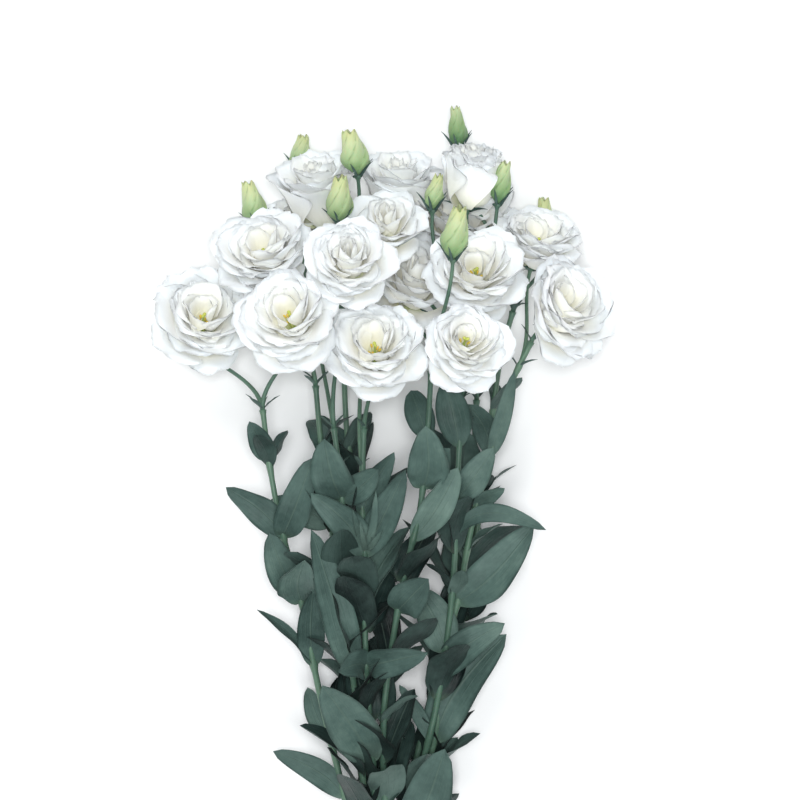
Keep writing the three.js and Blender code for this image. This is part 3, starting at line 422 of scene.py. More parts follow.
# How soon some traits grow from a petal's root to its rim: the more, the later.
SCALLOP_POWER, RAGGED_POWER, CORNER_POWER, FRILL_POWER = 4, 10, 7, 8
SCALLOP = 0.018  # how uneven a petal's rim is over its length
SCALLOP_WAVES = ((3, 1), (7, 0.6))  # half waves over half a petal, and their weights
FRILL = 0.4  # the fine waves of its rim
FRILL_WAVES = ((4, 1), (9, 0.5))
LEAST_FRILL = 0.35  # the share of them near the axis
RAGGED = 0.016  # how much its length differs from column to column at the rim
CURL = (-2.4, 2)  # how far a petal's margins curl in or out
WILD_LEAN = 6  # how far the inner petals differ in lean, in degrees
WILD_LENGTH = 0.12
WILD_TURN = 12
TAME_FORMS = ("cupped", "half_open")
TAME = 0.35  # the share of that for the outermost petals, and for all petals of the tame forms


def draw(*numbers):
    """A repeatable draw between 0 and 1 for some whole numbers, as the solids draw theirs."""
    first, second = numbers[0], sum(n * 31**k for k, n in enumerate(numbers[1:]))
    wide = math.sin(12.9898 * (first + 1) + 78.233 * (second + 1)) * 43758.5453
    return wide - math.floor(wide)


def spread(low, high, *numbers):
    return low + (high - low) * draw(*numbers)


def lean_at(lean, s):
    root, middle, rim = lean
    return np.radians(root * (1 - s) * (1 - 2 * s) + middle * 4 * s * (1 - s) + rim * s * (2 * s - 1))


def middle_line(form, s):
    """The distance from the axis and the height of a petal's middle line at s."""
    steps = (np.arange(LINE_STEPS) + 0.5) / LINE_STEPS
    leans = lean_at(form["lean"], s[..., None] * steps)
    r = form["root"][0] + np.sin(leans).mean(-1) * form["length"] * s
    h = form["root"][1] + np.cos(leans).mean(-1) * form["length"] * s
    return r, h


def smoothstep(t):
    t = np.clip(t, 0, 1)
    return t * t * (3 - 2 * t)


def waves_over(u, waves, key, first):
    """Some waves over a petal's width, whose phases are drawn by chance."""
    phases = [2 * math.pi * draw(*key, first + k) for k in range(len(waves))]
    return sum(weight * np.sin(count * math.pi * u + phase) for (count, weight), phase in zip(waves, phases))


def petal_surface(form, turn, phase, key):
    """The middle surface of one petal about the bloom's axis: rows from its root to its rim."""
    u = np.linspace(-1, 1, PETAL_COLUMNS)[None, :]
    v = np.linspace(0, 1, PETAL_ROWS)[:, None]
    uneven = waves_over(u, SCALLOP_WAVES, key, 0)
    ragged = np.array([draw(*key, 40 + k) - 0.5 for k in range(PETAL_COLUMNS)])[None, :]
    uneven = SCALLOP * v**SCALLOP_POWER * uneven + RAGGED * v**RAGGED_POWER * ragged
    s = v * (1 - form["round"] * np.abs(u) ** ROUND_POWER) * (1 + uneven)
    r, h = middle_line(form, s)
    full = smoothstep(s / PETAL_WIDEST) ** FILL_POWER
    half = form["width"] / 2 * (PETAL_CLAW + (1 - PETAL_CLAW) * full) * (1 - CORNER_DRAW * v**CORNER_POWER)
    angle = turn + u * half / np.maximum(r, TIGHTEST)
    lap = LAP * u * np.minimum(1, LAP_STARTS * s)
    near = np.minimum(1, r / RUFFLE_RADIUS)
    ruffle = RUFFLE * near * s**RUFFLE_POWER * np.sin(RUFFLE_WAVES * math.pi * u + phase)
    frill = FRILL * (LEAST_FRILL + near) * s**FRILL_POWER * waves_over(u, FRILL_WAVES, key, 2)
    curl = spread(*CURL, *key, 7) * u**2 * s**2
    lift = lap + form["folds"] * (ruffle + frill) + curl
    lean = lean_at(form["lean"], s)
    out = r + lift * np.cos(lean)
    return np.stack([out * np.cos(angle), out * np.sin(angle), h - lift * np.sin(lean)], -1)


# ---- Thin sheets and tubes, gathered into one mesh ----


class Gathered:
    """The points, faces, tones and spans of many sheets and tubes, which become one mesh."""

    def __init__(self):
        self.points, self.faces, self.smooth, self.tones, self.spans = [], [], [], [], []
        self.count = 0

    def add(self, points, faces, tones, spans, flat=0):
        """Adds points and faces, of which the last few may be flat, so that no shade runs over them."""
        self.points.append(points)
        self.faces.append(np.asarray(faces) + self.count)
        self.smooth.append(np.arange(len(faces)) < len(faces) - flat)
        self.tones.append(tones)
        self.spans.append(spans)
        self.count += len(points)

    def mesh(self, name):
        mesh = bpy.data.meshes.new(name)
        points = np.concatenate(self.points) * MM
        faces = np.concatenate(self.faces)
        mesh.vertices.add(len(points))
        mesh.vertices.foreach_set("co", points.ravel().astype(np.float32))
        mesh.loops.add(faces.size)
        mesh.loops.foreach_set("vertex_index", faces.ravel())
        mesh.polygons.add(len(faces))
        mesh.polygons.foreach_set("loop_start", np.arange(0, faces.size, 4))
        mesh.polygons.foreach_set("use_smooth", np.concatenate(self.smooth))
        mesh.update(calc_edges=True)
        tones = np.concatenate(self.tones)
        colours = np.concatenate([tones, np.ones((len(tones), 1))], 1)
        layer = mesh.color_attributes.new("tone", "FLOAT_COLOR", "POINT")
        layer.data.foreach_set("color", colours.ravel().astype(np.float32))
        span = mesh.uv_layers.new(name="span")
        spans = np.concatenate(self.spans)[faces.ravel()]
        span.data.foreach_set("uv", spans.ravel().astype(np.float32))
        mesh.validate()
        return mesh


def grid_faces(rows, columns, closed=False):
    """The four-sided faces of a grid of points. A closed one joins its last column to its first."""
    j = np.arange(rows - 1)[:, None] * columns
    i = np.arange(columns if closed else columns - 1)[None, :]
    k = (i + 1) % columns
    corners = (j + i, j + k, j + columns + k, j + columns + i)
    return np.stack(corners, -1).reshape(-1, 4)


def grid_places(rows, columns, reach=1.0):
    """How far each point of a grid is along and across it."""
    along = np.repeat(np.linspace(0, reach, rows), columns)
    return along, np.tile(np.linspace(0, 1, columns), rows)


def sheet_normals(surface):
    across = np.gradient(surface, axis=1)
    along = np.gradient(surface, axis=0)
    normals = np.cross(across, along)
    return normals / np.maximum(np.linalg.norm(normals, axis=-1, keepdims=True), 1e-9)


THIN = 0.3  # how thick a sheet's margin is, as a share of the sheet
THICKENING = 5
SPAN_SHIFT = 3  # how far a sheet's pattern is shifted by its shade
RIDGES = 4  # of a ridged tube
TUBE_SPAN = 6  # how far the pattern runs along a tube, while it runs 1 around it
STRAND_SPAN = 8  # the same for a strand of the tie


def add_sheet(gathered, surface, thickness, shade, reach=1.0):
    """Adds a sheet with two faces and a rim. The tone of a point tells how far along the sheet it is,
    whether it is on the under face, and the sheet's own shade. Its colour ends at its reach."""
    rows, columns = surface.shape[:2]
    across = 1 - np.abs(np.linspace(-1, 1, columns))[None, :, None]
    along = 1 - np.linspace(0, 1, rows)[:, None, None]
    body = np.minimum(1, THICKENING * np.minimum(across, along) + THIN)
    offset = sheet_normals(surface) * body * (thickness / 2)
    points = np.concatenate([(surface - offset).reshape(-1, 3), (surface + offset).reshape(-1, 3)])
    size = rows * columns
    top = grid_faces(rows, columns)
    index = np.arange(size).reshape(rows, columns)
    edge = np.concatenate([index[0], index[1:, -1], index[-1, -2::-1], index[-2:0:-1, 0]])
    after = np.roll(edge, -1)
    rim = np.stack([after, edge, edge + size, after + size], 1)
    faces = np.concatenate([top[:, ::-1], top + size, rim])
    along, across = grid_places(rows, columns, reach)
    tones = [np.stack([along, np.full(size, side), np.full(size, shade)], 1) for side in (0.0, 1.0)]
    spans = np.stack([across, along + SPAN_SHIFT * shade], 1)
    gathered.add(points, faces, np.concatenate(tones), np.concatenate([spans, spans]), flat=len(rim))


def frame_along(line):
    """Two directions square to a line of points at each of them, carried along without twisting."""
    tangents = np.gradient(line, axis=0)
    tangents /= np.linalg.norm(tangents, axis=1, keepdims=True)
    side = np.cross(tangents[0], (0, 0, 1))
    if np.linalg.norm(side) < 0.1:
        side = np.cross(tangents[0], (1, 0, 0))
    sides = []
    for tangent in tangents:
        side = side - tangent * side.dot(tangent)
        side = side / np.linalg.norm(side)
        sides.append(side)
    sides = np.array(sides)
    return sides, np.cross(sides, tangents)


def add_tube(gathered, line, radii, sides, shade, flat=1.0, ridges=0.0, marks=None):
    """Adds a tube along a line of points, with closed ends. It may be flat, ridged or marked."""
    line = np.asarray(line, float)
    across, up = frame_along(line)
    angles = 2 * math.pi * np.arange(sides) / sides
    swell = 1 + ridges * np.cos(RIDGES * angles)
    radii = np.broadcast_to(np.asarray(radii, float), (len(line),))
    rings = (
        line[:, None, :]
        + (radii[:, None] * np.cos(angles) * swell)[..., None] * across[:, None, :]
        + (radii[:, None] * np.sin(angles) * swell * flat)[..., None] * up[:, None, :]
    )
    rings = np.concatenate([line[:1, None].repeat(sides, 1), rings, line[-1:, None].repeat(sides, 1)])
    rows = len(rings)
    along, across = grid_places(rows, sides)
    marks = [0.0] * len(line) if marks is None else marks
    marks = np.repeat([marks[0], *marks, marks[-1]], sides)
    tones = np.stack([along, marks, np.full(rows * sides, shade)], 1)
    faces = grid_faces(rows, sides, closed=True)
    gathered.add(rings.reshape(-1, 3), faces, tones, np.stack([across, along * TUBE_SPAN], 1))


def add_piece(name, gathered, material, slot, *nodes):
    """Makes one object of what was gathered, in place of some of the frame's nodes."""
    mesh = gathered.mesh(name)
    mesh.materials.append(material)
    piece = bpy.data.objects.new(name, mesh)
    bpy.context.scene.collection.objects.link(piece)
    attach(piece, BODY)
    if nodes:
        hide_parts(*nodes)


# ---- Places about an axis ----


def unit(values):
    return Vector(values).normalized()


def across_axis(axis, turn):
    """The two directions square to an axis, turned about it, as the solids have them."""
    side = Vector((0, 1, 0)).cross(axis)
    if side.length < 0.2:
        side = Vector((0, 0, 1)).cross(axis)
    side.normalize()
    side = Quaternion(axis, turn) @ side
    return side, axis.cross(side)


def heading_from(axis, side, lean):
    return axis * math.cos(math.radians(lean)) + side * math.sin(math.radians(lean))


def carried(local, root, axis, turn):
    """Points about a flower's own axis, where the flower stands."""
    side, other = across_axis(axis, turn)
    return np.array(root) + local @ np.array([side, other, axis])


# ---- Reading places from the frame ----


def points_of(node):
    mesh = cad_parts[node].data
    tree = KDTree(len(mesh.vertices))
    for vertex in mesh.vertices:
        tree.insert(vertex.co / MM, vertex.index)
    tree.balance()
    return tree


TREES = {node: points_of(node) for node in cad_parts}


def miss(node, points):
    """How far some points lie from the nearest points of a node, in the mean."""
    return sum(TREES[node].find(point)[2] for point in points) / len(points)


def best(choices, node, points_for):
    """The choice whose points fit a node best, and how far they miss it."""
    misses = [(miss(node, points_for(choice)), k) for k, choice in enumerate(choices)]
    least, k = min(misses)
    return choices[k], least


FOUND = 0.7  # a place in the frame is found within this distance
LIFTS = [0.1 * k for k in range(-400, 401)]  # how far a resting bloom may have been carried


def flower_root(flower, lift=0.0):
    axis = unit(flower["facing"])
    depth = HEART_HEIGHT * flower["size"] if "form" in flower else flower["length"] / 2
    return Vector(flower["at"]) + Vector((0, 0, lift)) - axis * depth


def core_ring(bloom, lift):
    """The five points at the foot of a bloom's core."""
    axis = unit(bloom["facing"])
    side, other = across_axis(axis, math.radians(bloom["turn"]))
    root = flower_root(bloom, lift) - axis * CORE_FOOT * bloom["size"]
    points = []
    for k in range(PETALS):
        angle = math.radians(2 * HALF_PETAL * k - HALF_PETAL)
        radius = CUSHION_RADIUS * bloom["size"]
        points.append(root + side * radius * math.cos(angle) + other * radius * math.sin(angle))
    return points


def settled_root(flower):
    if flower["name"] not in RESTING:
        return flower_root(flower)
    lift, _ = best(LIFTS, flower["name"], lambda lift: core_ring(flower, lift))
    return flower_root(flower, lift)


# ---- Stems ----


class StemCurve:
    """A smooth curve through a stem's points, timed by the distances between them."""

    def __init__(self, stem):
        (column, row), *path = stem
        self.seat = (column * PITCH, LOWEST_ROW_Z + row * ROW_HEIGHT)
        points = [Vector((self.seat[0], TIE_WIDTH, self.seat[1])), *map(Vector, path)]
        before = points[0] * 2 - points[1]
        after = points[-1] * 2 - points[-2]
        self.points = [before, *points, after]

    def at(self, t):
        spans = len(self.points) - 3
        k = min(int(t * spans), spans - 1)
        w = t * spans - k
        a, b, c, d = self.points[k : k + 4]
        ab, bc, cd = (b - a).length, (c - b).length, (d - c).length
        out = ((b - a) / ab - (c - a) / (ab + bc) + (c - b) / bc) * bc
        into = ((c - b) / bc - (d - b) / (bc + cd) + (d - c) / cd) * bc
        return b + out * w + ((c - b) * 3 - out * 2 - into) * w**2 + ((b - c) * 2 + out + into) * w**3

    def direction(self, t, step=1e-4):
        return (self.at(min(t + step, 1)) - self.at(max(t - step, 0))).normalized()

    def where(self, y):
        """The share of the curve where it passes a given Y, by halving."""
        low, high = 0.0, 1.0
        for _ in range(HALVINGS):
            middle = (low + high) / 2
            if self.at(middle).y < y:
                low = middle
            else:
                high = middle
        return (low + high) / 2


CURVES = {name: StemCurve(stem) for name, stem in STEMS.items()}
STEM_SIDES = 12
STEM_STEPS = 70
LOW_STEPS = 12
SWELLING = 0.42  # how much thicker a stem is where leaves leave it
SWELLING_LENGTH = 2.6
STEM_RIDGES = 0.045


def heights_on(name):
    """Where leaves and stalks leave a stem, along Y."""
    leaves = [leaf["from"] for leaf in SHOWN_LEAVES if leaf["stem"] == name]
    forks = [flower["fork"] for flower in (*BLOOMS, *BUDS) if flower["stem"] == name]
    return sorted({*leaves, *forks, *MORE_LEAVES.get(name, ())})


def add_stem(gathered, name):
    curve = CURVES[name]
    x, z = curve.seat
    foot = Vector((x * FLARE, CUT_END_Y, LOWEST_ROW_Z + (z - LOWEST_ROW_Z) * FLARE))
    belt = Vector((x, -TIE_WIDTH, z))
    low = [foot.lerp(belt, k / LOW_STEPS) for k in range(LOW_STEPS)]
    line = low + [belt] + [curve.at(k / STEM_STEPS) for k in range(STEM_STEPS + 1)]
    heights = np.array(heights_on(name))
    radii = []
    for p in line:
        share = max(0, (p.y - TIE_WIDTH) / (curve.points[-2].y - TIE_WIDTH))
        near = np.exp(-(((p.y - heights) / SWELLING_LENGTH) ** 2)).max()
        radii.append((STEM_RADIUS + (STEM_TOP_RADIUS - STEM_RADIUS) * share) * (1 + SWELLING * near))
    marks = [1.0 if k == 0 else 0.0 for k in range(len(line))]
    add_tube(gathered, line, radii, STEM_SIDES, draw(7, ord(name[-1])), ridges=STEM_RIDGES, marks=marks)


# ---- Stalks and sepals ----

FINE_STALK_SIDES = 10
FINE_STALK_STEPS = 18
# A stalk's end under its flower: the distance below the root, and the radius there.
STALK_END = ((4.6, 1.5), (3.6, 2.1), (2.7, 2.7), (1.6, 2.9), (1.1, 2.5))
STALK_FOOT_SWELL = 0.35  # how much thicker a stalk starts
SEPAL_RADIUS = 1.25
SEPAL_TIP_RADIUS = 0.12
SEPAL_STEPS = 9
SEPAL_SIDES = 6
SEPAL_FLATNESS = 0.5
SEPAL_POINT = 1.3  # how early a sepal grows narrow: the less, the earlier
SEPAL_BELLY = (0.75, 0.9)  # its width at the ends, and how much is added between them
SEPAL_BOW = (0.45, 0.14)  # where a sepal bows, over its length, and how far
BRACT_LENGTH = (11, 17)
BRACT_WIDTH = 3.2
BRACT_TURN = (0, 60)
BRACT_LEAN = (30, 55)
BRACT_FACING = -50  # the lean of the way they face
BRACT_GRID = (7, 5)


def bezier(points, t):
    """A point of the curve that some handles give, from the first to the last."""
    while len(points) > 1:
        points = [a.lerp(b, t) for a, b in zip(points, points[1:])]
    return points[0]


def stalk_handles(flower, root, shift):
    curve = CURVES[flower["stem"]]
    t = curve.where(flower["fork"])
    start = curve.at(t)
    axis = unit(flower["facing"])
    end = root - axis * NECK
    reach = (end - start).length * STALK_HANDLE
    out = start + curve.direction(t) * reach + Vector(shift)
    back = end - axis * reach + Vector(shift)
    return [start, out, back, end]


def solid_ring(centre, direction, radius):
    """The ring of five points that the solids have about a line."""
    side = direction.cross(Vector((0, 0, 1))).normalized()
    other = side.cross(direction)
    angles = [2 * math.pi * k / STALK_SIDES for k in range(STALK_SIDES)]
    return [centre + (side * math.cos(a) + other * math.sin(a)) * radius for a in angles]


def stalk_test_points(flower, root, shift):
    """Points of a stalk's solid that tell one way of it from another."""
    handles = stalk_handles(flower, root, shift)
    line = [bezier(handles, k / STALK_STEPS) for k in range(STALK_STEPS + 1)]
    points = []
    for k in (1, 2):
        points += solid_ring(line[k], (line[k + 1] - line[k - 1]).normalized(), STALK_RADIUS)
    return points


STALK_WAYS = [(x, 0, z) for x in STALK_SHIFTS for z in STALK_SHIFTS]
STALK_WAYS.sort(key=lambda shift: math.hypot(*shift))


def sepal_tip(flower, root, ring, k, lean, scale):
    axis = unit(flower["facing"])
    middle = ring[k].lerp(ring[(k + 1) % STALK_SIDES], 0.5)
    out = middle - root
    out = (out - axis * out.dot(axis)).normalized()
    return middle - axis * SEPAL_DROP + heading_from(axis, out, lean) * SEPAL_LENGTH * scale


def add_sepals(gathered, flower, root):
    """Adds five awl-shaped sepals, whose tips are those of the solids."""
    axis = unit(flower["facing"])
    foot, seat = (root - axis * below for below in (NECK_END, CORE_FOOT + GAP))
    ring = solid_ring(seat, (seat - foot).normalized(), CUSHION_RADIUS)
    leans = BLOOM_SEPAL_LEANS if "form" in flower else BUD_SEPAL_LEANS
    choices = [(lean, scale) for lean in leans for scale in SEPAL_SCALES] + [STUB]
    for k in range(STALK_SIDES):
        tips = lambda choice: [sepal_tip(flower, root, ring, k, *choice)]
        choice, _ = best(choices, flower["stem"], tips)
        tip = tips(choice)[0]
        base = ring[k].lerp(ring[(k + 1) % STALK_SIDES], 0.5) - axis
        bow = base.lerp(tip, SEPAL_BOW[0]) + axis * (tip - base).length * SEPAL_BOW[1]
        line = [bezier([base, bow, tip], j / SEPAL_STEPS) for j in range(SEPAL_STEPS + 1)]
        for point in line:
            point.z = max(point.z, SEPAL_RADIUS)
        shares = np.linspace(0, 1, SEPAL_STEPS + 1)
        belly = SEPAL_BELLY[0] + SEPAL_BELLY[1] * shares * (1 - shares)
        radii = SEPAL_RADIUS * (1 - shares**SEPAL_POINT) * belly + SEPAL_TIP_RADIUS
        add_tube(gathered, line, radii, SEPAL_SIDES, draw(3, k), flat=SEPAL_FLATNESS)


def add_stalk(gathered, flower, root):
    tests = lambda shift: stalk_test_points(flower, root, shift)
    shift, _ = best(STALK_WAYS, flower["stem"], tests)
    handles = stalk_handles(flower, root, shift)
    axis = unit(flower["facing"])
    line = [bezier(handles, k / FINE_STALK_STEPS) for k in range(FINE_STALK_STEPS + 1)]
    line += [root - axis * below for below, _ in STALK_END]
    shares = np.linspace(0, 1, FINE_STALK_STEPS + 1)
    radii = STALK_RADIUS * (1 + STALK_FOOT_SWELL * (1 - shares) ** 3)
    radii = [*radii, *(radius for _, radius in STALK_END)]
    add_tube(gathered, line, radii, FINE_STALK_SIDES, draw(5, len(flower["name"]), flower["fork"]))
    return handles


def add_bracts(leaves, flower, handles):
    """Adds the pair of small bracts where a stalk leaves its stem."""
    start = handles[0]
    direction = (handles[1] - handles[0]).normalized()
    number = flower["fork"] + int(flower["name"][-2:])
    for half in (0, 180):
        side, _ = across_axis(direction, math.radians(spread(*BRACT_TURN, number, 1) + half))
        length = spread(*BRACT_LENGTH, number, half)
        tip = start + heading_from(direction, side, spread(*BRACT_LEAN, number, half + 1)) * length
        facing = heading_from(direction, side, BRACT_FACING)
        add_leaf(leaves, start, direction, tip, BRACT_WIDTH, facing, number + half, BRACT_GRID)


# ---- Leaves ----

LEAF_THICKNESS = 0.5
LEAF_GRID = (19, 11)  # rows and columns
YOUNG_GRID = (9, 5)
FINE_BELLY = (0.98, 1.3)  # where a leaf is widest: the more, the nearer its tip
FINE_BLUNTNESS = (0.48, 0.62)  # how blunt its tip is: the less, the blunter
FULLER = 1.12  # how much wider a leaf is than its solid
SWAY = 0.07  # how far a leaf bends to one side, over its length
CLASP = 0.035  # how broadly a leaf's base clasps its stem
FOLD_ROUNDING = 0.03
MARGIN_WAVE = 0.06
TIP_DROOP = 0.13
LEAF_ARCHES = (-0.032, 0.08)
LEAF_FOLDS = (0.9, 2.6)
LEAF_WAVES = (1.2, 2.4)
LEAF_TWIST = 24  # in degrees, over half a leaf
BACK_LEANS = (16, 38)
BACK_LENGTHS = (46, 64)
BACK_WIDTHS = (20, 27)
SHOWN_SHADES = (0.25, 1)
# Tones that differ at random, shifted darker for the pairs behind as painted shade.
PAIR_SHADES_PAINTED_DARKER = (-0.3, 0.7)
# The darkest tones, for the leaves furthest back, are painted shade.
BACK_PAINTED_SHADES = (-0.9, -0.3)
YOUNG_SHADES = (0.8, 1.2)
LOWEST_TIP = 8
PAIR_KEY, BACK_KEY, YOUNG_KEY = 100, 300, 600  # so that no two leaves share their draws


def add_leaf(
    gathered, start, direction, tip, width, facing, number,
    grid=LEAF_GRID, shades=SHOWN_SHADES, sway=None,
):
    """Adds a leaf from a stem to its tip: folded along its midrib, arched, twisted and wavy."""
    length = (tip - start).length
    control = (start + direction * length * LEAF_START).lerp(tip, LEAF_BEND)
    shares = np.linspace(0, 1, grid[0])
    middle = np.array([bezier([start, control, tip], share) for share in shares])
    tangents = np.gradient(middle, axis=0)
    tangents /= np.linalg.norm(tangents, axis=1, keepdims=True)
    sides = np.cross(tangents, np.array(facing))
    sides /= np.linalg.norm(sides, axis=1, keepdims=True)
    normals = np.cross(sides, tangents)
    arch = spread(*LEAF_ARCHES, number, 11) * length
    droop = spread(0, 1, number, 12) * TIP_DROOP * length
    middle = middle + normals * (arch * np.sin(math.pi * shares) - droop * shares**4)[:, None]
    sway = (spread(-1, 1, number, 18) * SWAY if sway is None else sway) * length
    middle = middle + sides * (sway * np.sin(math.pi * shares**1.2))[:, None]
    twist = spread(-1, 1, number, 13) * LEAF_TWIST * (2 * shares - 0.6)
    twist = np.radians(twist * np.minimum(1, 4 * shares))
    turned = np.cos(twist)[:, None] * sides + np.sin(twist)[:, None] * normals
    normals = np.cross(turned, tangents)
    u = np.linspace(-1, 1, grid[1])[None, :, None]
    belly, bluntness = spread(*FINE_BELLY, number, 19), spread(*FINE_BLUNTNESS, number, 20)
    outline = np.sin(math.pi * (CLASP + (1 - CLASP) * shares) ** belly) ** bluntness
    half = (FULLER * width / 2 * outline)[:, None, None]
    fold = LEAF_FOLD * spread(*LEAF_FOLDS, number, 14)
    rise = half * fold * (np.sqrt(u**2 + FOLD_ROUNDING) - math.sqrt(FOLD_ROUNDING))
    wave = spread(*LEAF_WAVES, number, 15) * math.pi
    phase = 2 * math.pi * draw(number, 16)
    inner = np.sin(wave * shares * 2 + phase)[:, None, None] * (u > 0)
    outer = np.sin(wave * shares * 2.3 + phase + 2)[:, None, None] * (u < 0)
    waved = (inner + outer) * np.abs(u) ** 2.2 * np.minimum(1, half / width * 3)
    rise = rise + MARGIN_WAVE * width * waved
    surface = middle[:, None, :] + turned[:, None, :] * u * half + normals[:, None, :] * rise
    surface[..., 2] = np.maximum(surface[..., 2], LEAF_THICKNESS)
    add_sheet(gathered, surface, -LEAF_THICKNESS, spread(*shades, number, 17))


def leaf_place(name, height):
    curve = CURVES[name]
    t = curve.where(height)
    return curve.at(t), curve.direction(t)


def add_shown_leaf(gathered, leaf, number):
    start, direction = leaf_place(leaf["stem"], leaf["from"])
    facing = Vector(leaf.get("facing", UPWARD))
    tips = lambda rise: [Vector(leaf["tip"]) + Vector(UPWARD) * rise]
    rise, off = best(TIP_SHIFTS, leaf["stem"], tips)
    if off < FOUND:
        width = leaf["width"] * leaf.get("slim", 1)
        add_leaf(gathered, start, direction, tips(rise)[0], width, facing, number, sway=leaf.get("sway"))
    return off < FOUND


def add_pair(gathered, name, height, pair):
    start, direction = leaf_place(name, height)
    choices = [(s, lean, turn) for s in LEAF_SCALES for lean in LEAF_LEANS for turn in TURN_SHIFTS]
    found = 0
    for half in (0, 180):
        first = FIRST_TURN + PAIR_TURN * pair + half
        side = lambda turn: across_axis(direction, math.radians(first + turn))[0]
        heading = lambda lean, turn: heading_from(direction, side(turn), lean)
        tips = lambda choice: [start + heading(choice[1], choice[2]) * LEAF_LENGTH * choice[0]]
        choice, off = best(choices, name, tips)
        if off < FOUND:
            scale, lean, turn = choice
            number = PAIR_KEY + height + half + ord(name[-1])
            facing = heading(lean - 90, turn)
            smaller = SMALLER_PAIRS.get(name, {}).get(height, 1)
            tip = start.lerp(tips(choice)[0], smaller)
            width = LEAF_WIDTH * scale * smaller
            # The darker tones of these pairs are partly painted shade.
            add_leaf(gathered, start, direction, tip, width, facing, number, shades=PAIR_SHADES_PAINTED_DARKER)
            found += 1
    return found


def add_young_leaf(gathered, leaf, number):
    start, direction = leaf_place(leaf["stem"], leaf["from"])
    tip, width = Vector(leaf["tip"]), leaf["width"]
    number += YOUNG_KEY
    add_leaf(gathered, start, direction, tip, width, UPWARD, number, YOUNG_GRID, YOUNG_SHADES)


def add_back_pair(gathered, name, height, pair):
    start, direction = leaf_place(name, height)
    for half in (0, 180):
        number = BACK_KEY + height + half + ord(name[-1])
        turn = spread(0, 90, number, 1) + PAIR_TURN * pair + half
        side, _ = across_axis(direction, math.radians(turn))
        lean = spread(*BACK_LEANS, number, 2)
        tip = start + heading_from(direction, side, lean) * spread(*BACK_LENGTHS, number, 3)
        tip.z = max(tip.z, LOWEST_TIP)
        facing = heading_from(direction, side, lean - 90)
        width = spread(*BACK_WIDTHS, number, 4)
        # The dark tones of the back leaves are painted shade.
        add_leaf(gathered, start, direction, tip, width, facing, number, shades=BACK_PAINTED_SHADES)


# ---- Blooms, buds and stamens ----

MIDDLE_SHADE = 0.5
CORE_SIDES = 10
CORE_PROFILE = ((2.4, -1.4), (3.3, -0.4), (3.9, 1.2), (3.4, 3.2), (2.7, 4.8), (1.2, 5.8))


def add_core(gathered, root, axis, size):
    line = [root + axis * height * size for _, height in CORE_PROFILE]
    radii = [radius * size for radius, _ in CORE_PROFILE]
    add_tube(gathered, line, radii, CORE_SIDES, MIDDLE_SHADE)


HEART_TILT = 34  # how far a heart leans up the picture past its outer petals, in degrees
TILT_POWER = 0.7
HEART_LEVEL = 0.95  # the facing along Y from which it no longer does
HANG_LEVEL = 0.35  # how far below that a facing is whose lowest petals hang in full
HANG = (10, 30, 26)  # how much further the lowest outer petals lean out, in degrees
INNER_HANG = (9, 20, 38)  # and the lowest inner ones, whose rims turn over
HANG_SHORTENING = 0.32
CREAM_AND_PAINTED_SHADE = 0.28  # how much more of an inner petal has the colour of its root: partly the petal's own cream, partly painted warm shade in the hollow of the heart
RISE = (0, 7, 20)  # how much less the uppermost inner petals lean out


def petal_form(base, key, wild, down):
    """The sizes of one petal: those of its whorl, changed a little by chance and by how far it hangs."""
    near = lambda reach, n: wild * spread(-reach, reach, *key, n)
    form = dict(base)
    leans = [lean + near(WILD_LEAN, 20 + j) for j, lean in enumerate(base["lean"])]
    hangs = HANG if key[1] == 0 else INNER_HANG
    leans = [lean + max(down, 0) * hang for lean, hang in zip(leans, hangs)]
    if key[1] > 0:
        leans = [lean + min(down, 0) * rise for lean, rise in zip(leans, RISE)]
    form["lean"] = tuple(leans)
    form["length"] = base["length"] * (1 + near(WILD_LENGTH, 24) - wild * WILD_LENGTH / 3)
    form["length"] *= 1 - HANG_SHORTENING * max(down, 0)
    form["width"] = base["width"] * (1 + near(WILD_LENGTH, 25))
    return form


def up_the_picture(axis):
    """The direction square to an axis that goes furthest along Y."""
    return (Vector((0, 1, 0)) - axis * axis.y).normalized()


def leaning_axis(bloom, inner):
    """The axis of a whorl, from the outermost at 0 to the heart at 1."""
    axis = unit(bloom["facing"])
    tilt = HEART_TILT * max(0, HEART_LEVEL - axis.y) * inner**TILT_POWER
    return heading_from(axis, up_the_picture(axis), tilt)


def bloom_piece(bloom, number, root, material):
    """One bloom: whorls of soft overlapping petals about a short core."""
    gathered = Gathered()
    axis = unit(bloom["facing"])
    size = bloom["size"] * bloom.get("fuller", 1)
    add_core(gathered, root, axis, bloom["size"])
    upward = up_the_picture(axis)
    ease = min(1, max(0, HEART_LEVEL - axis.y) / HANG_LEVEL)
    whorls = WHORLS[bloom["form"]]
    for w, base in enumerate(whorls):
        wild = TAME if w == 0 or bloom["form"] in TAME_FORMS else 1
        inner = w / (len(whorls) - 1)
        leaning = leaning_axis(bloom, inner)
        side, other = across_axis(leaning, math.radians(bloom["turn"]))
        for k in range(PETALS):
            key = (number, w, k)
            stray = wild * spread(-WILD_TURN, WILD_TURN, *key, 26)
            turn = math.radians(base["turn"] + 2 * HALF_PETAL * k + stray)
            down = -ease * (side * math.cos(turn) + other * math.sin(turn)).dot(upward)
            form = petal_form(base, key, wild, down)
            own = draw(number, PETALS * w + k)
            phase = RUFFLE_PHASE + RUFFLE_SPREAD * (own - 0.5)
            local = petal_surface(form, turn, phase, key) * size
            surface = carried(local, root, leaning, math.radians(bloom["turn"]))
            surface[..., 2] = np.maximum(surface[..., 2], PETAL_THICKNESS)
            add_sheet(gathered, surface, PETAL_THICKNESS, draw(*key, 28), reach=1 - CREAM_AND_PAINTED_SHADE * inner)
    add_piece(bloom["name"] + "_petals", gathered, material, "petal", bloom["name"])


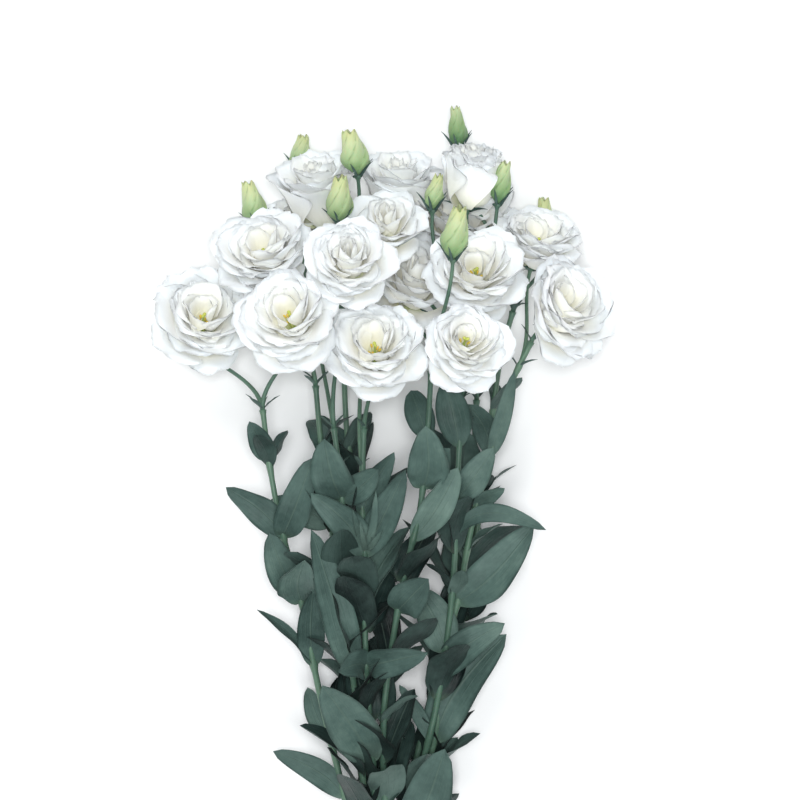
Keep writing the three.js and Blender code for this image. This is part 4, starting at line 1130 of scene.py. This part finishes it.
# A bud's radii from its foot to its tip, over half its width.
BUD_OUTLINE = (0.14, 0.5, 0.84, 0.99, 1, 0.93, 0.83, 0.72, 0.63, 0.56, 0.5)
BUD_FULLER = 1.12
BUD_BEND = 3.2
BUD_LOBES = 5
BUD_SIDES = 50
BUD_ROWS = 26
SEAM_DEPTH = 0.3
SEAM_WIDTH = 0.14  # over a petal's width
SEAM_SLOPE = 0.75
SEAM_LEVEL = 0.4  # the share of a seam's depth that lies inside the bud's outline
FINE_TWIST = 2.5  # how far the seams wind about a bud, in radians
BUD_TIP_WAVE = 1.5
MOUTH = 0.4  # how wide the hollow in a bud's tip is, over the tip
MOUTH_DEPTH = 2.4
CLOSED = (0.01, 0.01, 1)


def bud_piece(bud, root, material):
    """One furled bud: five petals wound about each other, whose margins show as slanting seams."""
    angles = 2 * math.pi * np.arange(BUD_SIDES) / BUD_SIDES
    rows = np.linspace(0, 1, BUD_ROWS)
    profile = np.interp(rows, np.linspace(0, 1, len(BUD_OUTLINE)), BUD_OUTLINE)
    profile = profile * BUD_FULLER * bud["width"] / 2 * bud.get("slim", 1)
    rows = rows[:, None]
    saw = (BUD_LOBES * (angles - FINE_TWIST * rows) / (2 * math.pi)) % 1
    step = np.clip(saw / SEAM_WIDTH, 0, 1)
    radius = profile[:, None] * (1 + SEAM_DEPTH * (step * (1 - SEAM_SLOPE * saw) - SEAM_LEVEL))
    height = rows * bud["length"] * bud.get("longer", 1) - CORE_FOOT
    height = height + BUD_TIP_WAVE * rows**6 * np.cos(2 * math.pi * saw + 1)
    local = np.stack([radius * np.cos(angles) + BUD_BEND * rows**2, radius * np.sin(angles), height], -1)
    middle = np.array((BUD_BEND, 0, 0))
    mouth = middle + (local[-1:] - middle) * (MOUTH, MOUTH, 1) - (0, 0, MOUTH_DEPTH)
    local = np.concatenate([local[:1] * CLOSED, local, mouth, mouth * CLOSED])
    surface = carried(local, root, unit(bud["facing"]), math.radians(bud["turn"]))
    count = len(surface)
    tones = np.zeros((count, BUD_SIDES, 3))
    tones[1:-2, :, 0] = rows
    tones[1:-2, :, 1] = 1 - step
    tones[-2:, :, :2] = 1
    tones[..., 2] = draw(9, int(bud["name"][-2:])) - bud.get("greener", 0)
    spans = np.stack(np.broadcast_arrays(saw, rows), -1)
    spans = np.concatenate([spans[:1], spans, spans[-1:], spans[-1:]])
    gathered = Gathered()
    faces = grid_faces(count, BUD_SIDES, closed=True)
    gathered.add(surface.reshape(-1, 3), faces, tones.reshape(-1, 3), spans.reshape(-1, 2))
    add_piece(bud["name"] + "_petals", gathered, material, "bud", bud["name"])


ANTHER_LENGTH = 3.3
ANTHER_RADIUS = 0.8
FILAMENT_RADIUS = 0.38
STIGMA_LOBE = (3, 1.25)  # the length and radius of each of the stigma's lobes
STIGMA_PLACE = (0.4, 1.1)  # how far the lobes lie above the pistil and beside it
STIGMA_LEAN = 0.75  # how far they point up, for each step outward
PISTIL_SHADE, FILAMENT_SHADE = 0.4, 0.3
STAMEN_COUNT = 6
BEAD_STEPS = 7
BEAD_SIDES = 8
FILAMENT_SIDES = 6
STRAY_ANGLE = (-0.25, 0.25)  # over the angle between two stamens
STRAY_REACH = (0.65, 1.05)
STRAY_HEIGHT = (0.66, 0.88)
ANTHER_LEAN = ((0.3, 1), (0.4, 1))  # how far an anther points outward and upward
FILAMENT_FOOT = 1.6
FILAMENT_BOW = 0.8
PISTIL_RADII = (1.5, 2.0, 2.1, 0.75, 0.8)  # at the heights of the solids' pistil
PISTIL_STEPS = 12
PISTIL_SIDES = 10
# The marks that tell the parts apart in the material.
FILAMENT_MARK, PISTIL_MARK, ANTHER_MARK, STIGMA_MARK = 0.0, 0.35, 0.7, 1.0


def add_bead(gathered, middle, direction, length, radius, mark, shade):
    """Adds a small rounded body along a direction."""
    steps = np.linspace(0, math.pi, BEAD_STEPS)
    line = [middle - direction * length / 2 * math.cos(step) for step in steps]
    radii = radius * np.sin(steps) + 0.02
    add_tube(gathered, line, radii, BEAD_SIDES, shade, marks=[mark] * len(line))


def stamens_piece(bloom, root, material):
    """The yellow anthers on their filaments, about a green pistil with a two-lobed stigma."""
    axis = leaning_axis(bloom, 1)
    base = root + axis * ((INNERMOST_ROOT + ROOT_THICKNESS) * bloom["size"] + GAP)
    gathered = Gathered()
    number = int(bloom["name"][-2:])
    heights = np.linspace(0, PISTIL_HEIGHTS[-1], PISTIL_STEPS)
    radii = np.interp(heights, PISTIL_HEIGHTS, PISTIL_RADII)
    line = [base + axis * height for height in heights]
    add_tube(gathered, line, radii, PISTIL_SIDES, PISTIL_SHADE, marks=[PISTIL_MARK] * len(line))
    for k in range(2):
        side, _ = across_axis(axis, math.pi * k + number)
        lobe = (axis * STIGMA_LEAN + side).normalized()
        centre = line[-1] + axis * STIGMA_PLACE[0] + side * STIGMA_PLACE[1]
        add_bead(gathered, centre, lobe, *STIGMA_LOBE, STIGMA_MARK, MIDDLE_SHADE)
    for k in range(STAMEN_COUNT):
        angle = 2 * math.pi * (k + spread(*STRAY_ANGLE, number, k)) / STAMEN_COUNT
        side, _ = across_axis(axis, angle)
        reach = STAMEN_REACH * spread(*STRAY_REACH, number, k, 1)
        height = STAMEN_HEIGHT * spread(*STRAY_HEIGHT, number, k, 2)
        foot = base + side * FILAMENT_FOOT + axis * STAMEN_FOOT
        tip = base + side * reach + axis * height
        bow = foot.lerp(tip, 0.5) + side * FILAMENT_BOW
        line = [bezier([foot, bow, tip], j / FILAMENT_SIDES) for j in range(FILAMENT_SIDES + 1)]
        marks = [FILAMENT_MARK] * len(line)
        add_tube(gathered, line, FILAMENT_RADIUS, FILAMENT_SIDES, FILAMENT_SHADE, marks=marks)
        outward, onward = (spread(*ANTHER_LEAN[j], number, k, 3 + j) for j in range(2))
        tilt = (side * outward + axis * onward).normalized()
        add_bead(gathered, tip, tilt, ANTHER_LENGTH, ANTHER_RADIUS, ANTHER_MARK, draw(number, k, 5))
    node = bloom["name"].replace("bloom", "stamens")
    add_piece(node + "_fine", gathered, material, "stamen", node)


# ---- The tie ----

WINDINGS = 7
STRAND_RADIUS = 0.85
STRAND_FLATNESS = 0.55
TIE_CORNERS = ((-1, 0), (1, 0), (1.5, 1), (1, 2), (-1, 2), (-1.5, 1))
CORNER_STEPS = 6
STRAND_GAP = 0.1
STRAND_SLANT = (-0.5, 0.5)


def tie_outline(distance):
    """Points about the ten stems at a distance from the middles of the outer ones."""
    first = -math.pi / 2 - math.pi / 3
    points = []
    for corner, (column, row) in enumerate(TIE_CORNERS):
        for k in range(CORNER_STEPS):
            angle = first + math.pi / 3 * (corner + k / (CORNER_STEPS - 1))
            x = column * PITCH + distance * math.cos(angle)
            z = LOWEST_ROW_Z + row * ROW_HEIGHT + distance * math.sin(angle)
            points.append((x, z))
    return points


def tie_piece(material):
    """A strand of raffia wound about the stems."""
    gathered = Gathered()
    distance = STEM_RADIUS + GAP + STRAND_RADIUS * STRAND_FLATNESS + STRAND_GAP
    outline = tie_outline(distance)
    step = (TIE_WIDTH - 2 * STRAND_RADIUS) / (WINDINGS - 1)
    for k in range(WINDINGS):
        y = -TIE_WIDTH / 2 + STRAND_RADIUS + k * step
        slant = spread(*STRAND_SLANT, 31, k)
        rings = []
        for j, (x, z) in enumerate(outline):
            sway = slant * math.sin(2 * math.pi * j / len(outline) + k)
            rings.append(Vector((x, y + sway, z)))
        add_band(gathered, rings, STRAND_RADIUS, STRAND_FLATNESS, draw(32, k))
    add_piece("tie_strands", gathered, material, "tie", "tie")


def add_band(gathered, ring, radius, flatness, shade, sides=8):
    """Adds a closed flat strand along a ring of points about the stems."""
    ring = np.array(ring)
    out = ring - ring.mean(0)
    out[:, 1] = 0
    out /= np.linalg.norm(out, axis=1, keepdims=True)
    angles = 2 * math.pi * np.arange(sides)[None, :, None] / sides
    across = np.array((0, 1, 0)) * radius * np.cos(angles)
    points = ring[:, None, :] + across + out[:, None, :] * radius * flatness * np.sin(angles)
    rows = len(ring)
    faces = grid_faces(rows + 1, sides, closed=True)[:, (0, 3, 2, 1)] % (rows * sides)
    along, across = grid_places(rows, sides)
    tones = np.stack([along, np.zeros(len(along)), np.full(len(along), shade)], 1)
    gathered.add(points.reshape(-1, 3), faces, tones, np.stack([across, along * STRAND_SPAN], 1))


# ---- Materials ----

NOISE_MIDDLE = (0.3, 0.7)  # where most values of a noise lie


class Look:
    """A material with one surface shader, and short ways to add and join its nodes."""

    def __init__(self, name, **values):
        self.material = bpy.data.materials.new(name)
        self.material.use_nodes = True
        self.tree = self.material.node_tree
        self.shader = self.tree.nodes["Principled BSDF"]
        for socket, value in values.items():
            self.shader.inputs[socket.replace("_", " ")].default_value = value

    def add(self, kind, inputs=None, **settings):
        node = self.tree.nodes.new("ShaderNode" + kind)
        for key, value in settings.items():
            setattr(node, key, value)
        for key, value in (inputs or {}).items():
            self.give(node.inputs[key], value)
        return node

    def give(self, socket, value):
        if isinstance(value, bpy.types.NodeSocket):
            self.tree.links.new(value, socket)
        else:
            socket.default_value = value

    def tone(self):
        """The three parts of the tone: along, underside or mark, and shade."""
        attribute = self.add("Attribute", attribute_name="tone")
        return self.add("SeparateColor", {"Color": attribute.outputs["Color"]}).outputs[:3]

    def noise(self, scale, detail=3, roughness=0.5, at=None):
        at = at or self.add("TexCoord").outputs["Object"]
        inputs = {"Scale": scale, "Detail": detail, "Roughness": roughness, "Vector": at}
        return self.add("TexNoise", inputs).outputs["Fac"]

    def fibres(self, across, along, detail, roughness):
        """A noise that is drawn out along a sheet or tube."""
        span = self.add("UVMap", uv_map="span").outputs["UV"]
        at = self.add("Mapping", {"Vector": span, "Scale": (across, along, 1)}).outputs["Vector"]
        return self.noise(1, detail, roughness, at)

    def ramp(self, value, *stops):
        """Colours along a value: pairs of place and colour."""
        node = self.add("ValToRGB", {"Fac": value})
        elements = node.color_ramp.elements
        while len(elements) < len(stops):
            elements.new(1)
        for element, (place, colour) in zip(elements, stops):
            element.position = place
            element.color = (*colour, 1)
        return node.outputs["Color"]

    def mix(self, share, first, second):
        """The first colour, with a share of the second."""
        node = self.add("Mix", data_type="RGBA")
        for index, value in ((0, share), (6, first), (7, second)):
            self.give(node.inputs[index], (*value, 1) if isinstance(value, tuple) else value)
        return node.outputs[2]

    def sum(self, *terms):
        """The sum of some values, each times a number."""
        total = None
        for value, times in terms:
            inputs = {0: value, 1: times}
            if total is not None:
                inputs[2] = total
            kind = "MULTIPLY" if total is None else "MULTIPLY_ADD"
            total = self.add("Math", inputs, operation=kind).outputs[0]
        return total

    def map(self, value, low, high, to_low, to_high):
        inputs = {"Value": value, "From Min": low, "From Max": high, "To Min": to_low, "To Max": to_high}
        return self.add("MapRange", inputs).outputs["Result"]

    def finish(self, colour, noise, roughness, height, strength, distance):
        """Joins to the shader a colour, a roughness between two values that follows a noise, and a bump
        with its strength and its distance in metres."""
        bump = self.add("Bump", {"Height": height, "Strength": strength, "Distance": distance})
        self.give(self.shader.inputs["Base Color"], colour)
        self.give(self.shader.inputs["Roughness"], self.map(noise, *NOISE_MIDDLE, *roughness))
        self.give(self.shader.inputs["Normal"], bump.outputs["Normal"])
        return self.material


def petal_material():
    look = Look(
        "petal", Subsurface_Weight=0.1, Subsurface_Scale=0.001, Subsurface_Radius=(1, 0.94, 0.75),
        Specular_IOR_Level=0.25, Sheen_Weight=1.0, Sheen_Roughness=0.6,
    )
    along, under, shade = look.tone()
    veins = look.fibres(34, 1.6, 3, 0.55)
    soft = look.noise(70, 2)
    place = look.sum((along, 1.0), (veins, 0.07), (soft, 0.08))
    # From root to rim: the green-yellow root that the petal has, a cream middle that is partly its own
    # colour and partly painted warm shade for its creases, and a bluish white rim that is painted cool
    # shade.
    face = look.ramp(
        place, (0.08, (0.40, 0.48, 0.14)), (0.2, (0.74, 0.75, 0.42)), (0.36, (0.93, 0.90, 0.69)),
        (0.62, (0.94, 0.93, 0.84)), (0.9, (0.87, 0.915, 0.945)),
    )
    # The under face likewise: a cream middle that is partly painted warm shade, and a bluish rim that is
    # painted cool shade.
    back = look.ramp(
        place, (0.08, (0.42, 0.52, 0.20)), (0.26, (0.82, 0.84, 0.62)), (0.5, (0.94, 0.93, 0.83)),
        (0.9, (0.89, 0.93, 0.955)),
    )
    colour = look.mix(under, face, back)
    colour = look.mix(look.map(veins, 0.35, 0.7, 0, 0.1), colour, (0.82, 0.83, 0.72))
    colour = look.mix(look.map(shade, 0, 1, 0, 0.1), colour, (0.92, 0.915, 0.86))
    height = look.sum((veins, 0.8), (look.noise(900, 2), 0.12), (soft, 0.9))
    return look.finish(colour, soft, (0.46, 0.62), height, 0.35, 0.0006)


def nerve_ramp(look):
    """Light lines along a leaf: its midrib, and two finer nerves at each side."""
    uv = look.add("UVMap", uv_map="span")
    across = look.add("SeparateXYZ", {0: uv.outputs["UV"]}).outputs[0]
    off = look.add("Math", {0: across, 1: 0.5}, operation="SUBTRACT").outputs[0]
    off = look.add("Math", {0: off}, operation="ABSOLUTE").outputs[0]
    black, thin, thinner, broad = ((value,) * 3 for value in (0, 0.42, 0.3, 1))
    return look.ramp(
        off, (0.0, broad), (0.012, broad), (0.034, black), (0.165, black), (0.18, thin),
        (0.195, black), (0.31, black), (0.32, thinner), (0.333, black),
    )


def leaf_material():
    look = Look("leaf", Specular_IOR_Level=0.2, Sheen_Weight=0.02, Sheen_Roughness=0.4)
    along, under, shade = look.tone()
    broad = look.noise(28, 3, 0.6)
    fine = look.noise(260, 3)
    cells = look.fibres(26, 9, 3, 0.6)
    value = look.sum((broad, 0.6), (shade, 0.3), (fine, 0.15), (cells, 0.12))
    # The darkest stops of this ramp and of the under face's are reached only by the leaves behind: painted
    # shade.
    face = look.ramp(
        value, (0.12, (0.003, 0.008, 0.008)), (0.42, (0.032, 0.061, 0.054)),
        (0.66, (0.076, 0.130, 0.113)), (0.9, (0.145, 0.222, 0.187)),
    )
    nerves = nerve_ramp(look)
    face = look.mix(look.map(nerves, 0, 1, 0, 0.26), face, (0.12, 0.18, 0.14))
    back = look.ramp(
        value, (0.12, (0.008, 0.016, 0.015)), (0.5, (0.052, 0.092, 0.080)), (0.85, (0.125, 0.19, 0.165))
    )
    colour = look.mix(under, face, back)
    colour = look.mix(look.map(along, 0, 0.16, 0.35, 0), colour, (0.09, 0.15, 0.09))
    height = look.sum((nerves, -0.8), (cells, 0.7), (fine, 0.3), (broad, 1.2))
    return look.finish(colour, broad, (0.4, 0.56), height, 0.5, 0.0009)


def stem_material():
    look = Look("stem", Specular_IOR_Level=0.4, Subsurface_Weight=0.06, Subsurface_Scale=0.002)
    _, mark, shade = look.tone()
    lines = look.fibres(16, 3, 2, 0.5)
    broad = look.noise(36, 3, 0.6)
    fine = look.noise(420, 2)
    value = look.sum((broad, 0.55), (lines, 0.25), (shade, 0.2), (fine, 0.12))
    colour = look.ramp(
        value, (0.3, (0.042, 0.092, 0.065)), (0.52, (0.072, 0.142, 0.1)),
        (0.72, (0.115, 0.205, 0.138)), (0.9, (0.17, 0.26, 0.17)),
    )
    colour = look.mix(mark, colour, (0.42, 0.5, 0.26))
    height = look.sum((lines, 1.0), (fine, 0.35))
    return look.finish(colour, broad, (0.38, 0.55), height, 0.4, 0.0005)


def bud_material():
    look = Look(
        "bud", Subsurface_Weight=0.15, Subsurface_Scale=0.002, Specular_IOR_Level=0.35,
        Sheen_Weight=0.08, Sheen_Roughness=0.5,
    )
    along, seam, shade = look.tone()
    veins = look.fibres(12, 2.2, 3, 0.6)
    soft = look.noise(110, 2)
    value = look.sum((along, 0.9), (veins, 0.14), (soft, 0.1), (shade, 0.1))
    colour = look.ramp(
        value, (0.12, (0.11, 0.23, 0.10)), (0.36, (0.23, 0.37, 0.16)), (0.62, (0.38, 0.5, 0.26)),
        (0.85, (0.52, 0.6, 0.33)), (1.0, (0.54, 0.6, 0.3)),
    )
    colour = look.mix(look.map(seam, 0.2, 1, 0, 0.55), colour, (0.13, 0.25, 0.08))
    height = look.sum((veins, 1.0), (soft, 0.5))
    return look.finish(colour, soft, (0.42, 0.58), height, 0.4, 0.0006)


def stamen_material():
    look = Look("stamen", Subsurface_Weight=0.1, Subsurface_Scale=0.001, Specular_IOR_Level=0.3)
    _, mark, _ = look.tone()
    grains = look.noise(2400, 3, 0.7)
    soft = look.noise(300, 2)
    colour = look.ramp(
        look.sum((mark, 1.0), (soft, 0.04)), (0.05, (0.62, 0.66, 0.3)), (0.2, (0.5, 0.6, 0.2)),
        (0.4, (0.28, 0.42, 0.1)), (0.6, (0.7, 0.47, 0.05)), (0.8, (0.72, 0.52, 0.07)),
        (1.0, (0.5, 0.58, 0.12)),
    )
    colour = look.mix(look.map(grains, 0.4, 0.7, 0, 0.4), colour, (0.85, 0.68, 0.2))
    return look.finish(colour, soft, (0.65, 0.85), grains, 0.6, 0.0003)


def tie_material():
    look = Look("raffia", Specular_IOR_Level=0.35)
    _, _, shade = look.tone()
    strands = look.fibres(18, 1.2, 4, 0.65)
    broad = look.noise(60, 2)
    value = look.sum((strands, 0.7), (shade, 0.25), (broad, 0.2))
    colour = look.ramp(
        value, (0.3, (0.30, 0.19, 0.08)), (0.55, (0.52, 0.36, 0.17)), (0.8, (0.7, 0.53, 0.29))
    )
    height = look.sum((strands, 1.0), (broad, 0.3))
    return look.finish(colour, broad, (0.5, 0.7), height, 0.7, 0.0006)


def floor_material():
    look = Look("floor", Specular_IOR_Level=0.15)
    grain = look.noise(9, 3)
    colour = look.ramp(grain, (0.3, (0.93, 0.935, 0.94)), (0.7, (0.95, 0.953, 0.955)))
    return look.finish(colour, grain, (0.75, 0.9), grain, 0.05, 0.001)


# ---- The bunch ----


def build_flowers(roots):
    petals, buds, stamens = petal_material(), bud_material(), stamen_material()
    for number, bloom in enumerate(BLOOMS):
        bloom_piece(bloom, number, roots[bloom["name"]], petals)
        if bloom["form"] == "open":
            stamens_piece(bloom, roots[bloom["name"]], stamens)
    for bud in BUDS:
        bud_piece(bud, roots[bud["name"]], buds)


def build_greens(roots):
    stems, leaves = stem_material(), leaf_material()
    found = []
    for name in STEMS:
        rods, blades = Gathered(), Gathered()
        add_stem(rods, name)
        for flower in (*BLOOMS, *BUDS):
            if flower["stem"] == name:
                handles = add_stalk(rods, flower, roots[flower["name"]])
                add_sepals(blades, flower, roots[flower["name"]])
                add_bracts(blades, flower, handles)
        for number, leaf in enumerate(SHOWN_LEAVES):
            if leaf["stem"] == name:
                found.append(add_shown_leaf(blades, leaf, number))
        for number, leaf in enumerate(YOUNG_LEAVES):
            if leaf["stem"] == name:
                add_young_leaf(blades, leaf, number)
        for pair, height in enumerate(MORE_LEAVES[name]):
            found.append(add_pair(blades, name, height, pair))
        for pair, height in enumerate(BACK_LEAVES.get(name, ())):
            add_back_pair(blades, name, height, pair)
        add_piece(name + "_rods", rods, stems, "green", name)
        add_piece(name + "_leaves", blades, leaves, "green", name)
    print("leaves found:", sum(found))


add_camera()
add_studio()
add_floor()
flower_roots = {flower["name"]: settled_root(flower) for flower in (*BLOOMS, *BUDS)}
build_flowers(flower_roots)
build_greens(flower_roots)
tie_piece(tie_material())
